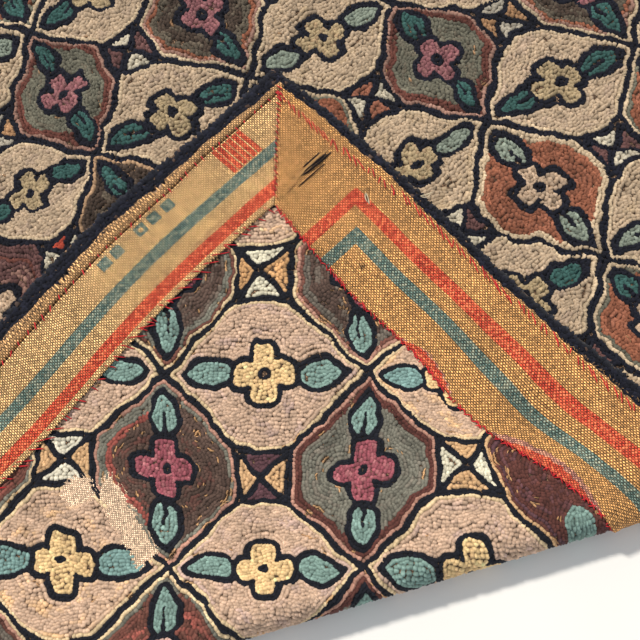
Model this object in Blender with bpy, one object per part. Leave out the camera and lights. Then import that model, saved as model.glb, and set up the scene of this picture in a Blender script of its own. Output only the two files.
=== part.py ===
"""Hooked rug lying on a floor, pile up, with one corner folded over on to its own front.

The rug is laid out flat first, in sheet measure: s runs along the long side and t along the
short side, both from the corner that is folded over. One flat layout of faces is cut along the
rim, the binding strips and the fold, and every piece is taken from it, so that the layers nest
exactly. Each piece is then given its thickness and carried through the fold into space.
"""

import math

import bmesh
import bpy
from mathutils import Vector

# Driving dimensions, in metres
RUG_LENGTH = 1.83
RUG_WIDTH = 1.22
RUG_THICKNESS = 0.010
RIM_ROUNDING = 0.005
RIM_FIRST_CUT = 0.0015
RIM_EDGE_SHARE = 0.3

# Where the fold crosses the long and the short side, measured from the folded corner
FOLD_ON_LONG_SIDE = 1.227
FOLD_ON_SHORT_SIDE = 0.673
ROLL_RADIUS = 0.014
ROLL_STEPS = 8
FLAP_GAP = 0.003
SETTLING_RUN = 0.110
SETTLING_STEPS = 3

# Binding strips of burlap sewn to the back, edge distances from the rug's own edge
BINDING_THICKNESS = 0.0012
PIECE_GAP = 0.0003
LONG_BINDING_OUTER = 0.027
LONG_BINDING_INNER = 0.117
SHORT_BINDING_OUTER = 0.018
SHORT_BINDING_INNER = 0.130
MITRE_GAP = 0.0004
EASING_WIDTH = 0.020

# Faces of the flat layout before it is cut
CELLS_ALONG = 26
CELLS_ACROSS = 20
MERGE_DISTANCE = 0.0012
ON_LINE = 0.00002

# Soft lifts of the flap: sheet place, reach along each axis and height
FLAP_LIFTS = (
    {"s": 0.06, "t": 0.06, "reach_s": 0.14, "reach_t": 0.14, "height": 0.003},
    {"s": 0.36, "t": 0.03, "reach_s": 0.12, "reach_t": 0.12, "height": 0.005},
    {"s": 0.72, "t": 0.10, "reach_s": 0.16, "reach_t": 0.15, "height": 0.004},
    {"s": 0.11, "t": 0.47, "reach_s": 0.12, "reach_t": 0.10, "height": 0.005},
    {"s": 0.42, "t": 0.27, "reach_s": 0.17, "reach_t": 0.13, "height": 0.003},
)

# Local stretch of the cloth in its own plane: place, reach and how far it is pushed
SHEET_PULLS = (
    {"s": 0.13, "t": 0.418, "reach_s": 0.06, "reach_t": 0.07, "push_s": 0.017, "push_t": 0.0},
    {"s": 0.13, "t": 0.26, "reach_s": 0.06, "reach_t": 0.08, "push_s": 0.009, "push_t": 0.0},
    {"s": 0.13, "t": 0.115, "reach_s": 0.05, "reach_t": 0.035, "push_s": -0.004, "push_t": 0.0},
    {"s": 0.58, "t": 0.075, "reach_s": 0.24, "reach_t": 0.13, "push_s": 0.0, "push_t": 0.030},
)

# Waves of the four edges: how deep and how long
EDGE_WAVE_DEPTH = 0.0035
EDGE_WAVE_LENGTH = 0.41
EDGE_WAVE_FADE = 0.16
LONG_WAVE_START = 0.6
SHORT_WAVE_START = 2.1

# Spacing of the two points from which a slope is read
SLOPE_STEP = 0.0005

PILE_COLOUR = (0.36, 0.27, 0.20, 1.0)
BURLAP_COLOUR = (0.60, 0.38, 0.15, 1.0)


def fold_direction():
    """Unit direction in the sheet, square to the fold, that points away from the folded corner."""
    slope = math.hypot(FOLD_ON_LONG_SIDE, FOLD_ON_SHORT_SIDE)
    return FOLD_ON_SHORT_SIDE / slope, FOLD_ON_LONG_SIDE / slope


FOLD_S, FOLD_T = fold_direction()
FOLD_DISTANCE = FOLD_ON_LONG_SIDE * FOLD_S
ROLL_START = FOLD_DISTANCE + 0.5 * math.pi * ROLL_RADIUS
ROLL_END = ROLL_START - math.pi * ROLL_RADIUS


def smooth_step(value):
    """Ease from 0 to 1 as the value goes from 0 to 1."""
    value = min(max(value, 0.0), 1.0)
    return value * value * (3.0 - 2.0 * value)


def bell(distance_s, distance_t, row):
    """A soft hump around the place that a table row names."""
    return math.exp(-((distance_s / row["reach_s"]) ** 2) - (distance_t / row["reach_t"]) ** 2)


def pulled(s, t):
    """A point of the even layout, moved in the sheet's plane by the pulls and the edge waves."""
    push_s = 0.0
    push_t = 0.0
    for row in SHEET_PULLS:
        share = bell(s - row["s"], t - row["t"], row)
        push_s += share * row["push_s"]
        push_t += share * row["push_t"]
    turn = 2.0 * math.pi / EDGE_WAVE_LENGTH
    near_long = math.exp(-t / EDGE_WAVE_FADE) - math.exp(-(RUG_WIDTH - t) / EDGE_WAVE_FADE)
    near_short = math.exp(-s / EDGE_WAVE_FADE) - math.exp(-(RUG_LENGTH - s) / EDGE_WAVE_FADE)
    push_t += EDGE_WAVE_DEPTH * near_long * math.sin(turn * s + LONG_WAVE_START)
    push_s += EDGE_WAVE_DEPTH * near_short * math.sin(turn * t + SHORT_WAVE_START)
    return s + push_s, t + push_t


def edge_distance(s, t):
    """How far a point of the even layout lies inside the nearest edge."""
    return min(s, t, RUG_LENGTH - s, RUG_WIDTH - t)


def binding_cover(s, t):
    """1 where a binding lies under the cloth, easing to 0 just inside the bindings."""
    inside_long = min(t, RUG_WIDTH - t) - LONG_BINDING_INNER
    inside_short = min(s, RUG_LENGTH - s) - SHORT_BINDING_INNER
    return 1.0 - smooth_step(min(inside_long, inside_short) / EASING_WIDTH)


def middle_point(s, t):
    """The middle of the rug's thickness in space, for a point of the even layout."""
    sheet_s, sheet_t = pulled(s, t)
    reach = sheet_s * FOLD_S + sheet_t * FOLD_T
    rise = (BINDING_THICKNESS + PIECE_GAP) * binding_cover(s, t)
    low = 0.5 * RUG_THICKNESS
    if reach >= ROLL_START:
        across = reach
        height = low + rise
    elif reach >= ROLL_END:
        turn = (ROLL_START - reach) / ROLL_RADIUS
        across = ROLL_START - ROLL_RADIUS * math.sin(turn)
        height = low + ROLL_RADIUS * (1.0 - math.cos(turn)) + rise * math.cos(0.5 * turn)
    else:
        run = ROLL_END - reach
        across = ROLL_START + run
        settled = smooth_step(run / SETTLING_RUN)
        resting = RUG_THICKNESS + FLAP_GAP
        for row in FLAP_LIFTS:
            resting += row["height"] * bell(s - row["s"], t - row["t"], row)
        height = low + 2.0 * ROLL_RADIUS * (1.0 - settled) + resting * settled
    moved = across - reach
    return Vector((
        0.5 * RUG_LENGTH - sheet_s - moved * FOLD_S,
        sheet_t + moved * FOLD_T - 0.5 * RUG_WIDTH,
        height,
    ))


def space_point(s, t, lift):
    """A point that stands off the middle of the thickness by lift, towards the pile side."""
    along_s = middle_point(s + SLOPE_STEP, t) - middle_point(s - SLOPE_STEP, t)
    along_t = middle_point(s, t + SLOPE_STEP) - middle_point(s, t - SLOPE_STEP)
    return middle_point(s, t) + along_t.cross(along_s).normalized() * lift


def cut_layout(mesh, faces, point, normal):
    """Cut the named faces of the flat layout along one straight line."""
    edges = {edge for face in faces for edge in face.edges}
    corners = {vert for face in faces for vert in face.verts}
    bmesh.ops.bisect_plane(
        mesh,
        geom=list(corners) + list(edges) + list(faces),
        dist=ON_LINE,
        plane_co=(point[0], point[1], 0.0),
        plane_no=(normal[0], normal[1], 0.0),
    )


def fold_lines():
    """Distances from the folded corner, square to the fold, at which the layout is cut."""
    roll = [ROLL_START - math.pi * ROLL_RADIUS * step / ROLL_STEPS for step in range(ROLL_STEPS + 1)]
    run = [ROLL_END - SETTLING_RUN * (step + 1) / SETTLING_STEPS for step in range(SETTLING_STEPS)]
    return roll + run


def rug_corners():
    """The four corners of the flat rug, each with its signs of the way to the middle."""
    for end_s, sign_s in ((0.0, 1.0), (RUG_LENGTH, -1.0)):
        for end_t, sign_t in ((0.0, 1.0), (RUG_WIDTH, -1.0)):
            yield end_s, end_t, sign_s, sign_t


def flat_layout():
    """The rug's rectangle as triangles, cut along rim, bindings, mitres and fold."""
    mesh = bmesh.new()
    bmesh.ops.create_grid(mesh, x_segments=CELLS_ALONG, y_segments=CELLS_ACROSS, size=0.5)
    for vert in mesh.verts:
        vert.co = Vector(((vert.co.x + 0.5) * RUG_LENGTH, (vert.co.y + 0.5) * RUG_WIDTH, 0.0))

    rim = (RIM_FIRST_CUT, RIM_ROUNDING)
    for inset in rim + (SHORT_BINDING_OUTER, SHORT_BINDING_INNER, SHORT_BINDING_INNER + EASING_WIDTH):
        cut_layout(mesh, mesh.faces[:], (inset, 0.0), (1.0, 0.0))
        cut_layout(mesh, mesh.faces[:], (RUG_LENGTH - inset, 0.0), (1.0, 0.0))
    for inset in rim + (LONG_BINDING_OUTER, LONG_BINDING_INNER, LONG_BINDING_INNER + EASING_WIDTH):
        cut_layout(mesh, mesh.faces[:], (0.0, inset), (0.0, 1.0))
        cut_layout(mesh, mesh.faces[:], (0.0, RUG_WIDTH - inset), (0.0, 1.0))

    for end_s, end_t, sign_s, sign_t in rug_corners():
        corner = [
            face for face in mesh.faces
            if abs(face.calc_center_median().x - end_s) < SHORT_BINDING_INNER
            and abs(face.calc_center_median().y - end_t) < LONG_BINDING_INNER
        ]
        square = (sign_s * LONG_BINDING_INNER, -sign_t * SHORT_BINDING_INNER)
        cut_layout(mesh, corner, (end_s, end_t), square)

    for distance in fold_lines():
        cut_layout(mesh, mesh.faces[:], (distance * FOLD_S, distance * FOLD_T), (FOLD_S, FOLD_T))

    bmesh.ops.remove_doubles(mesh, verts=mesh.verts[:], dist=MERGE_DISTANCE)
    bmesh.ops.triangulate(mesh, faces=mesh.faces[:])
    return mesh


def thick_piece(name, layout, keep, top, bottom, material, shift=None):
    """Take the kept faces of the layout, give them two sides and carry them into space."""
    mesh = layout.copy()
    spare = [face for face in mesh.faces if not keep(face.calc_center_median())]
    bmesh.ops.delete(mesh, geom=spare, context="FACES")
    if shift is not None:
        for vert in mesh.verts:
            vert.co = shift(vert.co)
    lower = mesh.faces[:]
    raised = bmesh.ops.extrude_face_region(mesh, geom=lower, use_keep_orig=True)["geom"]
    upper = {item for item in raised if isinstance(item, bmesh.types.BMVert)}
    for vert in mesh.verts:
        s = vert.co.x
        t = vert.co.y
        lift = top(s, t) if vert in upper else bottom(s, t)
        vert.co = space_point(s, t, lift)
    bmesh.ops.recalc_face_normals(mesh, faces=mesh.faces[:])
    data = bpy.data.meshes.new(name)
    mesh.to_mesh(data)
    mesh.free()
    data.materials.append(material)
    data.shade_smooth()
    data.set_sharp_from_angle(angle=math.radians(40.0))
    piece = bpy.data.objects.new(name, data)
    bpy.context.scene.collection.objects.link(piece)
    return piece


def cloth_material(name, colour, roughness):
    """A plain matt cloth finish."""
    material = bpy.data.materials.new(name)
    material.use_nodes = True
    shader = material.node_tree.nodes["Principled BSDF"]
    shader.inputs["Base Color"].default_value = colour
    shader.inputs["Roughness"].default_value = roughness
    shader.inputs["Metallic"].default_value = 0.0
    return material


def rounded_half(s, t):
    """Half of the rug's thickness, rounded down at the rim."""
    depth = min(edge_distance(s, t) / RIM_ROUNDING, 1.0)
    round_share = math.sqrt(max(1.0 - (1.0 - depth) ** 2, 0.0))
    return 0.5 * RUG_THICKNESS * max(round_share, RIM_EDGE_SHARE)


def rug_body(layout, material):
    """The hooked burlap foundation with its pile and its turned hem, one folded sheet."""
    return thick_piece(
        "rug_body",
        layout,
        keep=lambda centre: True,
        top=rounded_half,
        bottom=lambda s, t: -rounded_half(s, t),
        material=material,
    )


def mitre_side(s, t):
    """Above 0 on the long bindings' side of the nearest mitre, below 0 on the short ones'."""
    near_s = min(s, RUG_LENGTH - s)
    near_t = min(t, RUG_WIDTH - t)
    return near_s * LONG_BINDING_INNER - near_t * SHORT_BINDING_INNER


def binding_strip(layout, name, along_long_side, far_side, material):
    """One burlap strip sewn to the back along one side of the rug, mitred at both ends."""

    def keep(centre):
        s = centre.x
        t = centre.y
        if along_long_side:
            inset = RUG_WIDTH - t if far_side else t
            in_strip = LONG_BINDING_OUTER < inset < LONG_BINDING_INNER
            return in_strip and mitre_side(s, t) > 0.0
        inset = RUG_LENGTH - s if far_side else s
        in_strip = SHORT_BINDING_OUTER < inset < SHORT_BINDING_INNER
        return in_strip and mitre_side(s, t) < 0.0

    def clear_of_mitre(place):
        if abs(mitre_side(place.x, place.y)) > ON_LINE * SHORT_BINDING_INNER:
            return place
        inward_s = math.copysign(MITRE_GAP, 0.5 * RUG_LENGTH - place.x)
        inward_t = math.copysign(MITRE_GAP, 0.5 * RUG_WIDTH - place.y)
        if along_long_side:
            return Vector((place.x + inward_s, place.y, 0.0))
        return Vector((place.x, place.y + inward_t, 0.0))

    near_face = -(0.5 * RUG_THICKNESS + PIECE_GAP)
    return thick_piece(
        name,
        layout,
        keep=keep,
        top=lambda s, t: near_face,
        bottom=lambda s, t: near_face - BINDING_THICKNESS,
        material=material,
        shift=clear_of_mitre,
    )


def build_rug():
    """Clear the scene and make the five pieces."""
    for item in list(bpy.context.scene.objects):
        bpy.data.objects.remove(item, do_unlink=True)

    hooked = cloth_material("hooked_wool", PILE_COLOUR, 0.95)
    burlap = cloth_material("binding_burlap", BURLAP_COLOUR, 0.90)
    layout = flat_layout()
    rug_body(layout, hooked)
    for side_name, along_long_side in (("long", True), ("short", False)):
        for end_name, far_side in (("near", False), ("far", True)):
            name = "binding_" + side_name + "_" + end_name
            binding_strip(layout, name, along_long_side, far_side, burlap)
    layout.free()


build_rug()
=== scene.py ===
"""Looks of the hooked rug: wool loops, the flat stitches of its back, and its striped burlap binding.

Every piece is laid out flat in sheet measure, as the rug is cut and hooked: s runs along the long
side and t along the short side, both from the corner that is folded over. The fold then carries
it into space, in the same way for the loops, the foundation and the binding.
"""

import math

import bmesh
import bpy
import numpy as np
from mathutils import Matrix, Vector


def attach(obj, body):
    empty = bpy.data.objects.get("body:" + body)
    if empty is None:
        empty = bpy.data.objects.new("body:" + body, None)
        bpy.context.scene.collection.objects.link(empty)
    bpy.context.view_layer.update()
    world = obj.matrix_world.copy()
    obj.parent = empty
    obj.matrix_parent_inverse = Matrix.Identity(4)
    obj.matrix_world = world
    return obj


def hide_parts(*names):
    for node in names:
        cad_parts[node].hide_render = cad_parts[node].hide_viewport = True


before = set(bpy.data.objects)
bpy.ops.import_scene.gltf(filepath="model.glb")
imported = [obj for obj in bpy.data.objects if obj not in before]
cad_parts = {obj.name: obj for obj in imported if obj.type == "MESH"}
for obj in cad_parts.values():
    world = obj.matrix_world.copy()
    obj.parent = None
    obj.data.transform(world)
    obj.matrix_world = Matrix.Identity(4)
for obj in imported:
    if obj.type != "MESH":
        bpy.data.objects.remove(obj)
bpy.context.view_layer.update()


def table(columns, rows):
    """The rows of a table as dictionaries by column, under their own names if they have any."""
    names = columns.split()
    if isinstance(rows, dict):
        return {key: dict(zip(names, row)) for key, row in rows.items()}
    return [dict(zip(names, row)) for row in rows]


# The rug and its fold, in metres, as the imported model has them
RUG_LENGTH = 1.83
RUG_WIDTH = 1.22
RUG_THICKNESS = 0.010
FOLD_ON_LONG_SIDE = 1.227
FOLD_ON_SHORT_SIDE = 0.673
ROLL_RADIUS = 0.014
FLAP_GAP = 0.003
SETTLING_RUN = 0.110
BINDING_RISE = 0.0015
EASING_WIDTH = 0.020
LONG_BINDING_INNER = 0.117
SHORT_BINDING_INNER = 0.130
BINDING_GAP = 0.0003
BINDING_THICKNESS = 0.0012

FLAP_LIFTS = table("s t reach_s reach_t height", (
    (0.06, 0.06, 0.14, 0.14, 0.003),
    (0.36, 0.03, 0.12, 0.12, 0.005),
    (0.72, 0.10, 0.16, 0.15, 0.004),
    (0.11, 0.47, 0.12, 0.10, 0.005),
    (0.42, 0.27, 0.17, 0.13, 0.003),
))
SHEET_PULLS = table("s t reach_s reach_t push_s push_t", (
    (0.13, 0.418, 0.06, 0.07, 0.017, 0.0),
    (0.13, 0.26, 0.06, 0.08, 0.009, 0.0),
    (0.13, 0.115, 0.05, 0.035, -0.004, 0.0),
    (0.58, 0.075, 0.24, 0.13, 0.0, 0.030),
))
EDGE_WAVE_DEPTH = 0.0035
EDGE_WAVE_LENGTH = 0.41
EDGE_WAVE_FADE = 0.16
LONG_WAVE_START = 0.6
SHORT_WAVE_START = 2.1
SLOPE_STEP = 0.0005

FOLD_SLOPE = math.hypot(FOLD_ON_LONG_SIDE, FOLD_ON_SHORT_SIDE)
FOLD_S = FOLD_ON_SHORT_SIDE / FOLD_SLOPE
FOLD_T = FOLD_ON_LONG_SIDE / FOLD_SLOPE
FOLD_DISTANCE = FOLD_ON_LONG_SIDE * FOLD_S
ROLL_START = FOLD_DISTANCE + 0.5 * math.pi * ROLL_RADIUS
ROLL_END = ROLL_START - math.pi * ROLL_RADIUS

# Hooking of both faces: how far apart rows are, half an outline's width, the radius of a flower's
# heart, how many degrees loops are turned, how far lines wander and how uneven the wool's tone is
HOOKING = table("pitch outline heart sway wander tone", {
    "back": (0.0033, 0.0027, 0.0050, 12.0, 1.0, 0.13),
    "front": (0.0040, 0.0035, 0.0066, 32.0, 1.4, 0.12),
})
CELL_SIZE = 0.140
HALF_DIAGONAL = CELL_SIZE / math.sqrt(2.0)

# Crossings of the trellis, counted along both sides, in metres from the folded corner
COLUMNS = {-2: -0.091, -1: 0.049, 0: 0.189, 1: 0.335, 2: 0.462, 3: 0.600, 4: 0.740, 5: 0.850}
ROWS = {-2: -0.112, -1: 0.028, 0: 0.168, 1: 0.320, 2: 0.453, 3: 0.611, 4: 0.769, 5: 0.885, 6: 1.016}
LAST_COLUMN = 12
LAST_ROW = 8
FAR_ROW_STEP = 0.130
KNOWN_JITTER = 0.3
CROSSING_NUDGES = {
    (0, 0): (0.0, -0.005), (1, 0): (0.0, 0.008), (1, 1): (0.005, 0.0),
    (-1, 0): (-0.038, 0.0), (-1, 1): (0.038, 0.0), (-1, 2): (0.040, -0.012),
}
CROSSING_JITTER = 0.005

# Motif of one cell, from its middle: petals, leaves and the sides of the crossed boxes
PETAL_REACH = 0.0322
PETAL_HALF_WIDTH = 0.0132
PETAL_ROUNDING = 0.0085
PETAL_BULGE = 0.0140
PETAL_PLACE = 0.0182
LEAF_PLACE = 0.0515
LEAF_INNER_LENGTH = 0.0225
LEAF_OUTER_LENGTH = 0.0300
LEAF_HALF_WIDTH = 0.0150
VEIN_END = 0.060
VEIN_TIP = 0.0009
VEIN_SPREAD = 0.0022
BOX_SIDE = 0.070
BOX_HALF_WIDTH = 0.030
BOX_BOW = 0.004
FOLLOWING_ROWS = {True: 2, False: 8}
STRAIGHT_FROM = 1

GROUND, BOX, FLOWER, LEAF = range(4)

# Wool strips: colour of the flat stitches on the back and of the faded pile on the front
YARNS = table("back front", {
    "navy": ((26, 27, 34), (25, 26, 36)),
    "cream": ((218, 190, 148), (200, 176, 144)),
    "pink_cream": ((208, 174, 146), (192, 167, 138)),
    "grey_pink": ((192, 162, 148), (174, 150, 128)),
    "tan_cream": ((236, 190, 138), (184, 159, 126)),
    "straw": ((234, 198, 142), (176, 154, 118)),
    "teal": ((132, 158, 146), (58, 92, 86)),
    "grey_teal": ((128, 158, 150), (136, 144, 128)),
    "mauve": ((156, 84, 92), (142, 92, 94)),
    "light_mauve": ((188, 126, 124), (162, 116, 110)),
    "petal_pink": ((214, 176, 160), (198, 170, 142)),
    "petal_tan": ((200, 160, 140), (176, 146, 116)),
    "red_brown": ((116, 74, 62), (148, 92, 68)),
    "brick": ((164, 88, 76), (150, 96, 74)),
    "rose": ((184, 136, 116), (160, 122, 106)),
    "sage": ((122, 118, 104), (112, 108, 92)),
    "olive_grey": ((112, 102, 90), (96, 86, 72)),
    "umber": ((92, 72, 62), (74, 60, 50)),
    "plum": ((92, 62, 66), (104, 72, 68)),
    "maroon": ((98, 58, 50), (104, 62, 52)),
    "tan": ((210, 168, 122), (172, 138, 106)),
    "orange_tan": ((214, 164, 112), (176, 134, 96)),
    "pale_cream": ((224, 214, 186), (198, 186, 162)),
    "pale_grey": ((218, 208, 184), (170, 160, 142)),
    "brick_red": ((178, 70, 50), (168, 70, 52)),
})

# Grounds of the cells: rows of wool from the trellis inwards, what is mixed into their middle, and
# the share of bare specks, then the flower, what is mixed into its petals, and the leaves
FEW = {"back": 0.03, "front": 0.02}
MORE = {"back": 0.10, "front": 0.05}
MANY = {"back": 0.24, "front": 0.06}
MAUVE_FLOWER = ("mauve", "light_mauve", "teal")
PINK_FLOWER = ("petal_pink", "petal_tan")
GROUNDS = table("rows mix specks flower petal_mix leaf", {
    "light": (("cream", "pink_cream"), "grey_pink", FEW, "straw", "tan_cream", "teal"),
    "pale": (("cream", "pink_cream"), "tan_cream", FEW, "straw", "tan", "grey_teal"),
    "umber": (("cream", "red_brown", "sage", "sage", "umber"), "olive_grey", MANY, *MAUVE_FLOWER),
    "grey_brown": (
        ("cream", "rose", "red_brown", "olive_grey", "olive_grey", "umber"),
        "olive_grey", MANY, *MAUVE_FLOWER,
    ),
    "sage": (
        ("rose", "sage", "sage", "sage", "brick", "brick", "umber"), "maroon", MANY, *MAUVE_FLOWER,
    ),
    "maroon": (("rose", "maroon", "maroon", "sage"), "olive_grey", MORE, *MAUVE_FLOWER),
    "red_brown": (
        ("cream", "cream", "red_brown", "red_brown", "red_brown"),
        "brick", FEW, *PINK_FLOWER, "grey_teal",
    ),
    "wine": (("tan", "maroon", "plum", "maroon"), "plum", MANY, "maroon", "plum", "teal"),
    "dark_brown": (("cream", "sage", "red_brown", "red_brown"), "brick", FEW, *PINK_FLOWER, "teal"),
    "plum": (("plum", "plum", "plum", "maroon", "plum"), "rose", FEW, *PINK_FLOWER, "teal"),
    "black_brown": (("tan", "umber", "umber", "umber"), "olive_grey", FEW, "tan", "petal_tan", "teal"),
})

# Rows on the side towards the second crossed box, and a ground whose motif has no dark lines
GROUNDS["sage"]["other_rows"] = ("rose", "sage", "umber", "umber", "umber")
GROUNDS["wine"]["undrawn"] = True
CELL_GROUNDS = {
    (0, -1): "umber", (-1, 0): "grey_brown", (1, 0): "sage", (0, 1): "maroon", (-1, 2): "wine",
    (0, 5): "red_brown", (-1, 4): "dark_brown", (3, 4): "black_brown", (4, 3): "plum",
    (0, 4): "light", (-1, 5): "pale", (1, 5): "pale", (4, 4): "light",
}
OTHER_DARK_GROUNDS = ("red_brown", "dark_brown", "plum", "grey_brown", "black_brown", "maroon")
OTHER_LIGHT_GROUNDS = ("light", "pale", "light")

# The four triangles of a crossed box: on the sides of the light cells and of the dark cells
BOX_YARNS = table("light dark", {
    (0, 0): ("pale_cream", "orange_tan"),
    (1, 1): ("plum", "tan"),
    (2, 0): ("pale_grey", "tan"),
    (0, 2): ("tan", "pale_cream"),
    (1, 5): ("pale_cream", "plum"),
    (0, 6): ("pale_cream", "plum"),
    (4, 4): ("brick_red", "pale_cream"),
    (-1, 5): ("pale_cream", "pale_grey"),
})
OTHER_BOX_YARNS = table("light dark", (
    ("pale_cream", "plum"),
    ("tan", "pale_grey"),
    ("brick", "pale_cream"),
    ("pale_grey", "orange_tan"),
))

# The sheet measure that the UV map of every piece spreads over its whole width
UV_SPAN = 2.0

random = np.random.default_rng(41)


def smooth_step(value):
    """Ease from 0 to 1 as the value goes from 0 to 1."""
    value = np.clip(value, 0.0, 1.0)
    return value * value * (3.0 - 2.0 * value)


def bell(s, t, row):
    """A soft hump around the place that a table row names."""
    return np.exp(-(((s - row["s"]) / row["reach_s"]) ** 2) - ((t - row["t"]) / row["reach_t"]) ** 2)


def push(s, t):
    """How far the pulls and the edge waves move a point of the even layout in its plane."""
    push_s = np.zeros_like(s)
    push_t = np.zeros_like(t)
    for row in SHEET_PULLS:
        share = bell(s, t, row)
        push_s += share * row["push_s"]
        push_t += share * row["push_t"]
    turn = 2.0 * math.pi / EDGE_WAVE_LENGTH
    near_long = np.exp(-t / EDGE_WAVE_FADE) - np.exp(-(RUG_WIDTH - t) / EDGE_WAVE_FADE)
    near_short = np.exp(-s / EDGE_WAVE_FADE) - np.exp(-(RUG_LENGTH - s) / EDGE_WAVE_FADE)
    push_t += EDGE_WAVE_DEPTH * near_long * np.sin(turn * s + LONG_WAVE_START)
    push_s += EDGE_WAVE_DEPTH * near_short * np.sin(turn * t + SHORT_WAVE_START)
    return push_s, push_t


def even_layout(real_s, real_t):
    """The point of the even layout that the pulls and waves bring to a real place on the sheet."""
    s = real_s.copy()
    t = real_t.copy()
    for _ in range(6):
        push_s, push_t = push(s, t)
        s = real_s - push_s
        t = real_t - push_t
    return s, t


def binding_cover(s, t):
    """1 where a binding lies under the cloth, easing to 0 just inside the bindings."""
    inside_long = np.minimum(t, RUG_WIDTH - t) - LONG_BINDING_INNER
    inside_short = np.minimum(s, RUG_LENGTH - s) - SHORT_BINDING_INNER
    return 1.0 - smooth_step(np.minimum(inside_long, inside_short) / EASING_WIDTH)


def middle_points(s, t):
    """The middle of the rug's thickness in space, for points of the even layout."""
    push_s, push_t = push(s, t)
    real_s = s + push_s
    real_t = t + push_t
    reach = real_s * FOLD_S + real_t * FOLD_T
    turn = np.clip((ROLL_START - reach) / ROLL_RADIUS, 0.0, math.pi)
    run = np.maximum(ROLL_END - reach, 0.0)
    across = np.maximum(reach, ROLL_START) - ROLL_RADIUS * np.sin(turn) + run
    settled = smooth_step(run / SETTLING_RUN)
    resting = RUG_THICKNESS + FLAP_GAP
    for row in FLAP_LIFTS:
        resting = resting + row["height"] * bell(s, t, row)
    rise = BINDING_RISE * binding_cover(s, t) * np.cos(0.5 * turn)
    height = 0.5 * RUG_THICKNESS + ROLL_RADIUS * (1.0 - np.cos(turn)) * (1.0 - settled)
    height = height + resting * settled + rise
    moved = across - reach
    return np.stack((
        0.5 * RUG_LENGTH - real_s - moved * FOLD_S,
        real_t + moved * FOLD_T - 0.5 * RUG_WIDTH,
        height,
    ), axis=-1)


def unit(vectors):
    """The same directions with length 1."""
    return vectors / np.maximum(np.linalg.norm(vectors, axis=-1, keepdims=True), 1e-12)


def pile_normals(s, t):
    """Directions square to the sheet, towards the pile side."""
    along_s = middle_points(s + SLOPE_STEP, t) - middle_points(s - SLOPE_STEP, t)
    along_t = middle_points(s, t + SLOPE_STEP) - middle_points(s, t - SLOPE_STEP)
    return unit(np.cross(along_t, along_s))


def space_points(s, t, lift):
    """Points that stand off the middle of the thickness by lift, towards the pile side."""
    return middle_points(s, t) + pile_normals(s, t) * np.asarray(lift)[..., None]


def linear(colour):
    """A colour of 0 to 255 steps, as the renderer counts light."""
    share = np.asarray(colour, float) / 255.0
    return np.where(share <= 0.04045, share / 12.92, ((share + 0.055) / 1.055) ** 2.4)


def soft_noise(s, t, wave, seed):
    """Smooth unevenness between about -1 and 1, with bumps about one wave apart."""
    maker = np.random.default_rng(seed)
    total = np.zeros_like(s)
    for _ in range(7):
        angle = maker.uniform(0.0, 2.0 * math.pi)
        turn = 2.0 * math.pi / (wave * maker.uniform(0.7, 1.5))
        start = maker.uniform(0.0, 2.0 * math.pi)
        total += np.sin((s * math.cos(angle) + t * math.sin(angle)) * turn + start)
    return total / 3.0


def rounded_bar(x, y, half_long, half_wide):
    """Distance outside a bar with rounded corners, below 0 inside it."""
    over_x = np.abs(x) - half_long + PETAL_ROUNDING
    over_y = np.abs(y) - half_wide + PETAL_ROUNDING
    outside = np.hypot(np.maximum(over_x, 0.0), np.maximum(over_y, 0.0))
    return outside + np.minimum(np.maximum(over_x, over_y), 0.0) - PETAL_ROUNDING


def motif_fields(leaf_axis, box_axis, size, veined, hooking):
    """Distances of one cell's points from its drawn lines, and the region each lies in."""
    outline = hooking["outline"]
    edge = (HALF_DIAGONAL - np.abs(leaf_axis) - np.abs(box_axis)) / math.sqrt(2.0)
    bow = BOX_BOW * (1.0 - (leaf_axis / BOX_HALF_WIDTH) ** 2)
    box = BOX_SIDE + bow - np.abs(box_axis)
    reach = PETAL_REACH * size
    flower = np.minimum(
        rounded_bar(leaf_axis, box_axis, reach, PETAL_HALF_WIDTH),
        rounded_bar(box_axis, leaf_axis, reach, PETAL_HALF_WIDTH),
    )
    for side in (-1.0, 1.0):
        place = side * PETAL_PLACE * size
        flower = np.minimum(flower, np.hypot(leaf_axis - place, box_axis) - PETAL_BULGE)
        flower = np.minimum(flower, np.hypot(leaf_axis, box_axis - place) - PETAL_BULGE)
    along = np.abs(leaf_axis) - LEAF_PLACE
    half_long = np.where(along > 0.0, LEAF_OUTER_LENGTH, LEAF_INNER_LENGTH)
    half_wide = LEAF_HALF_WIDTH * size
    bend = (half_long ** 2 + half_wide ** 2) / (2.0 * half_wide)
    leaf = np.hypot(along, np.abs(box_axis) + bend - half_wide) - bend

    region = np.full(leaf_axis.shape, GROUND)
    region[leaf < 0.0] = LEAF
    region[flower < 0.0] = FLOWER
    region[box < 0.0] = BOX
    depth = np.minimum(np.minimum(edge, np.abs(box)), np.minimum(flower, leaf))
    inside_leaf = np.minimum(-leaf, flower)
    if veined:
        left_over = np.abs(leaf_axis) - VEIN_END
        spread = VEIN_TIP + VEIN_SPREAD * np.clip(-left_over / 0.03, 0.0, 1.0)
        vein = np.hypot(np.maximum(left_over, 0.0), box_axis) - spread + outline
        inside_leaf = np.minimum(inside_leaf, np.maximum(vein, 0.0))
    depth = np.where(region == LEAF, inside_leaf, depth)
    heart = np.maximum(np.hypot(leaf_axis, box_axis) - hooking["heart"] + outline, 0.0)
    depth = np.where(region == FLOWER, np.minimum(-flower, heart), depth)
    depth = np.where(region == BOX, np.minimum(edge, -box), depth)
    return depth, region, np.minimum(edge, np.abs(box))


def cell_axes(u, v):
    """Places in a light cell, measured along its leaves and towards its crossed boxes."""
    return (u - v) * HALF_DIAGONAL, (u + v - 1.0) * HALF_DIAGONAL


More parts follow.
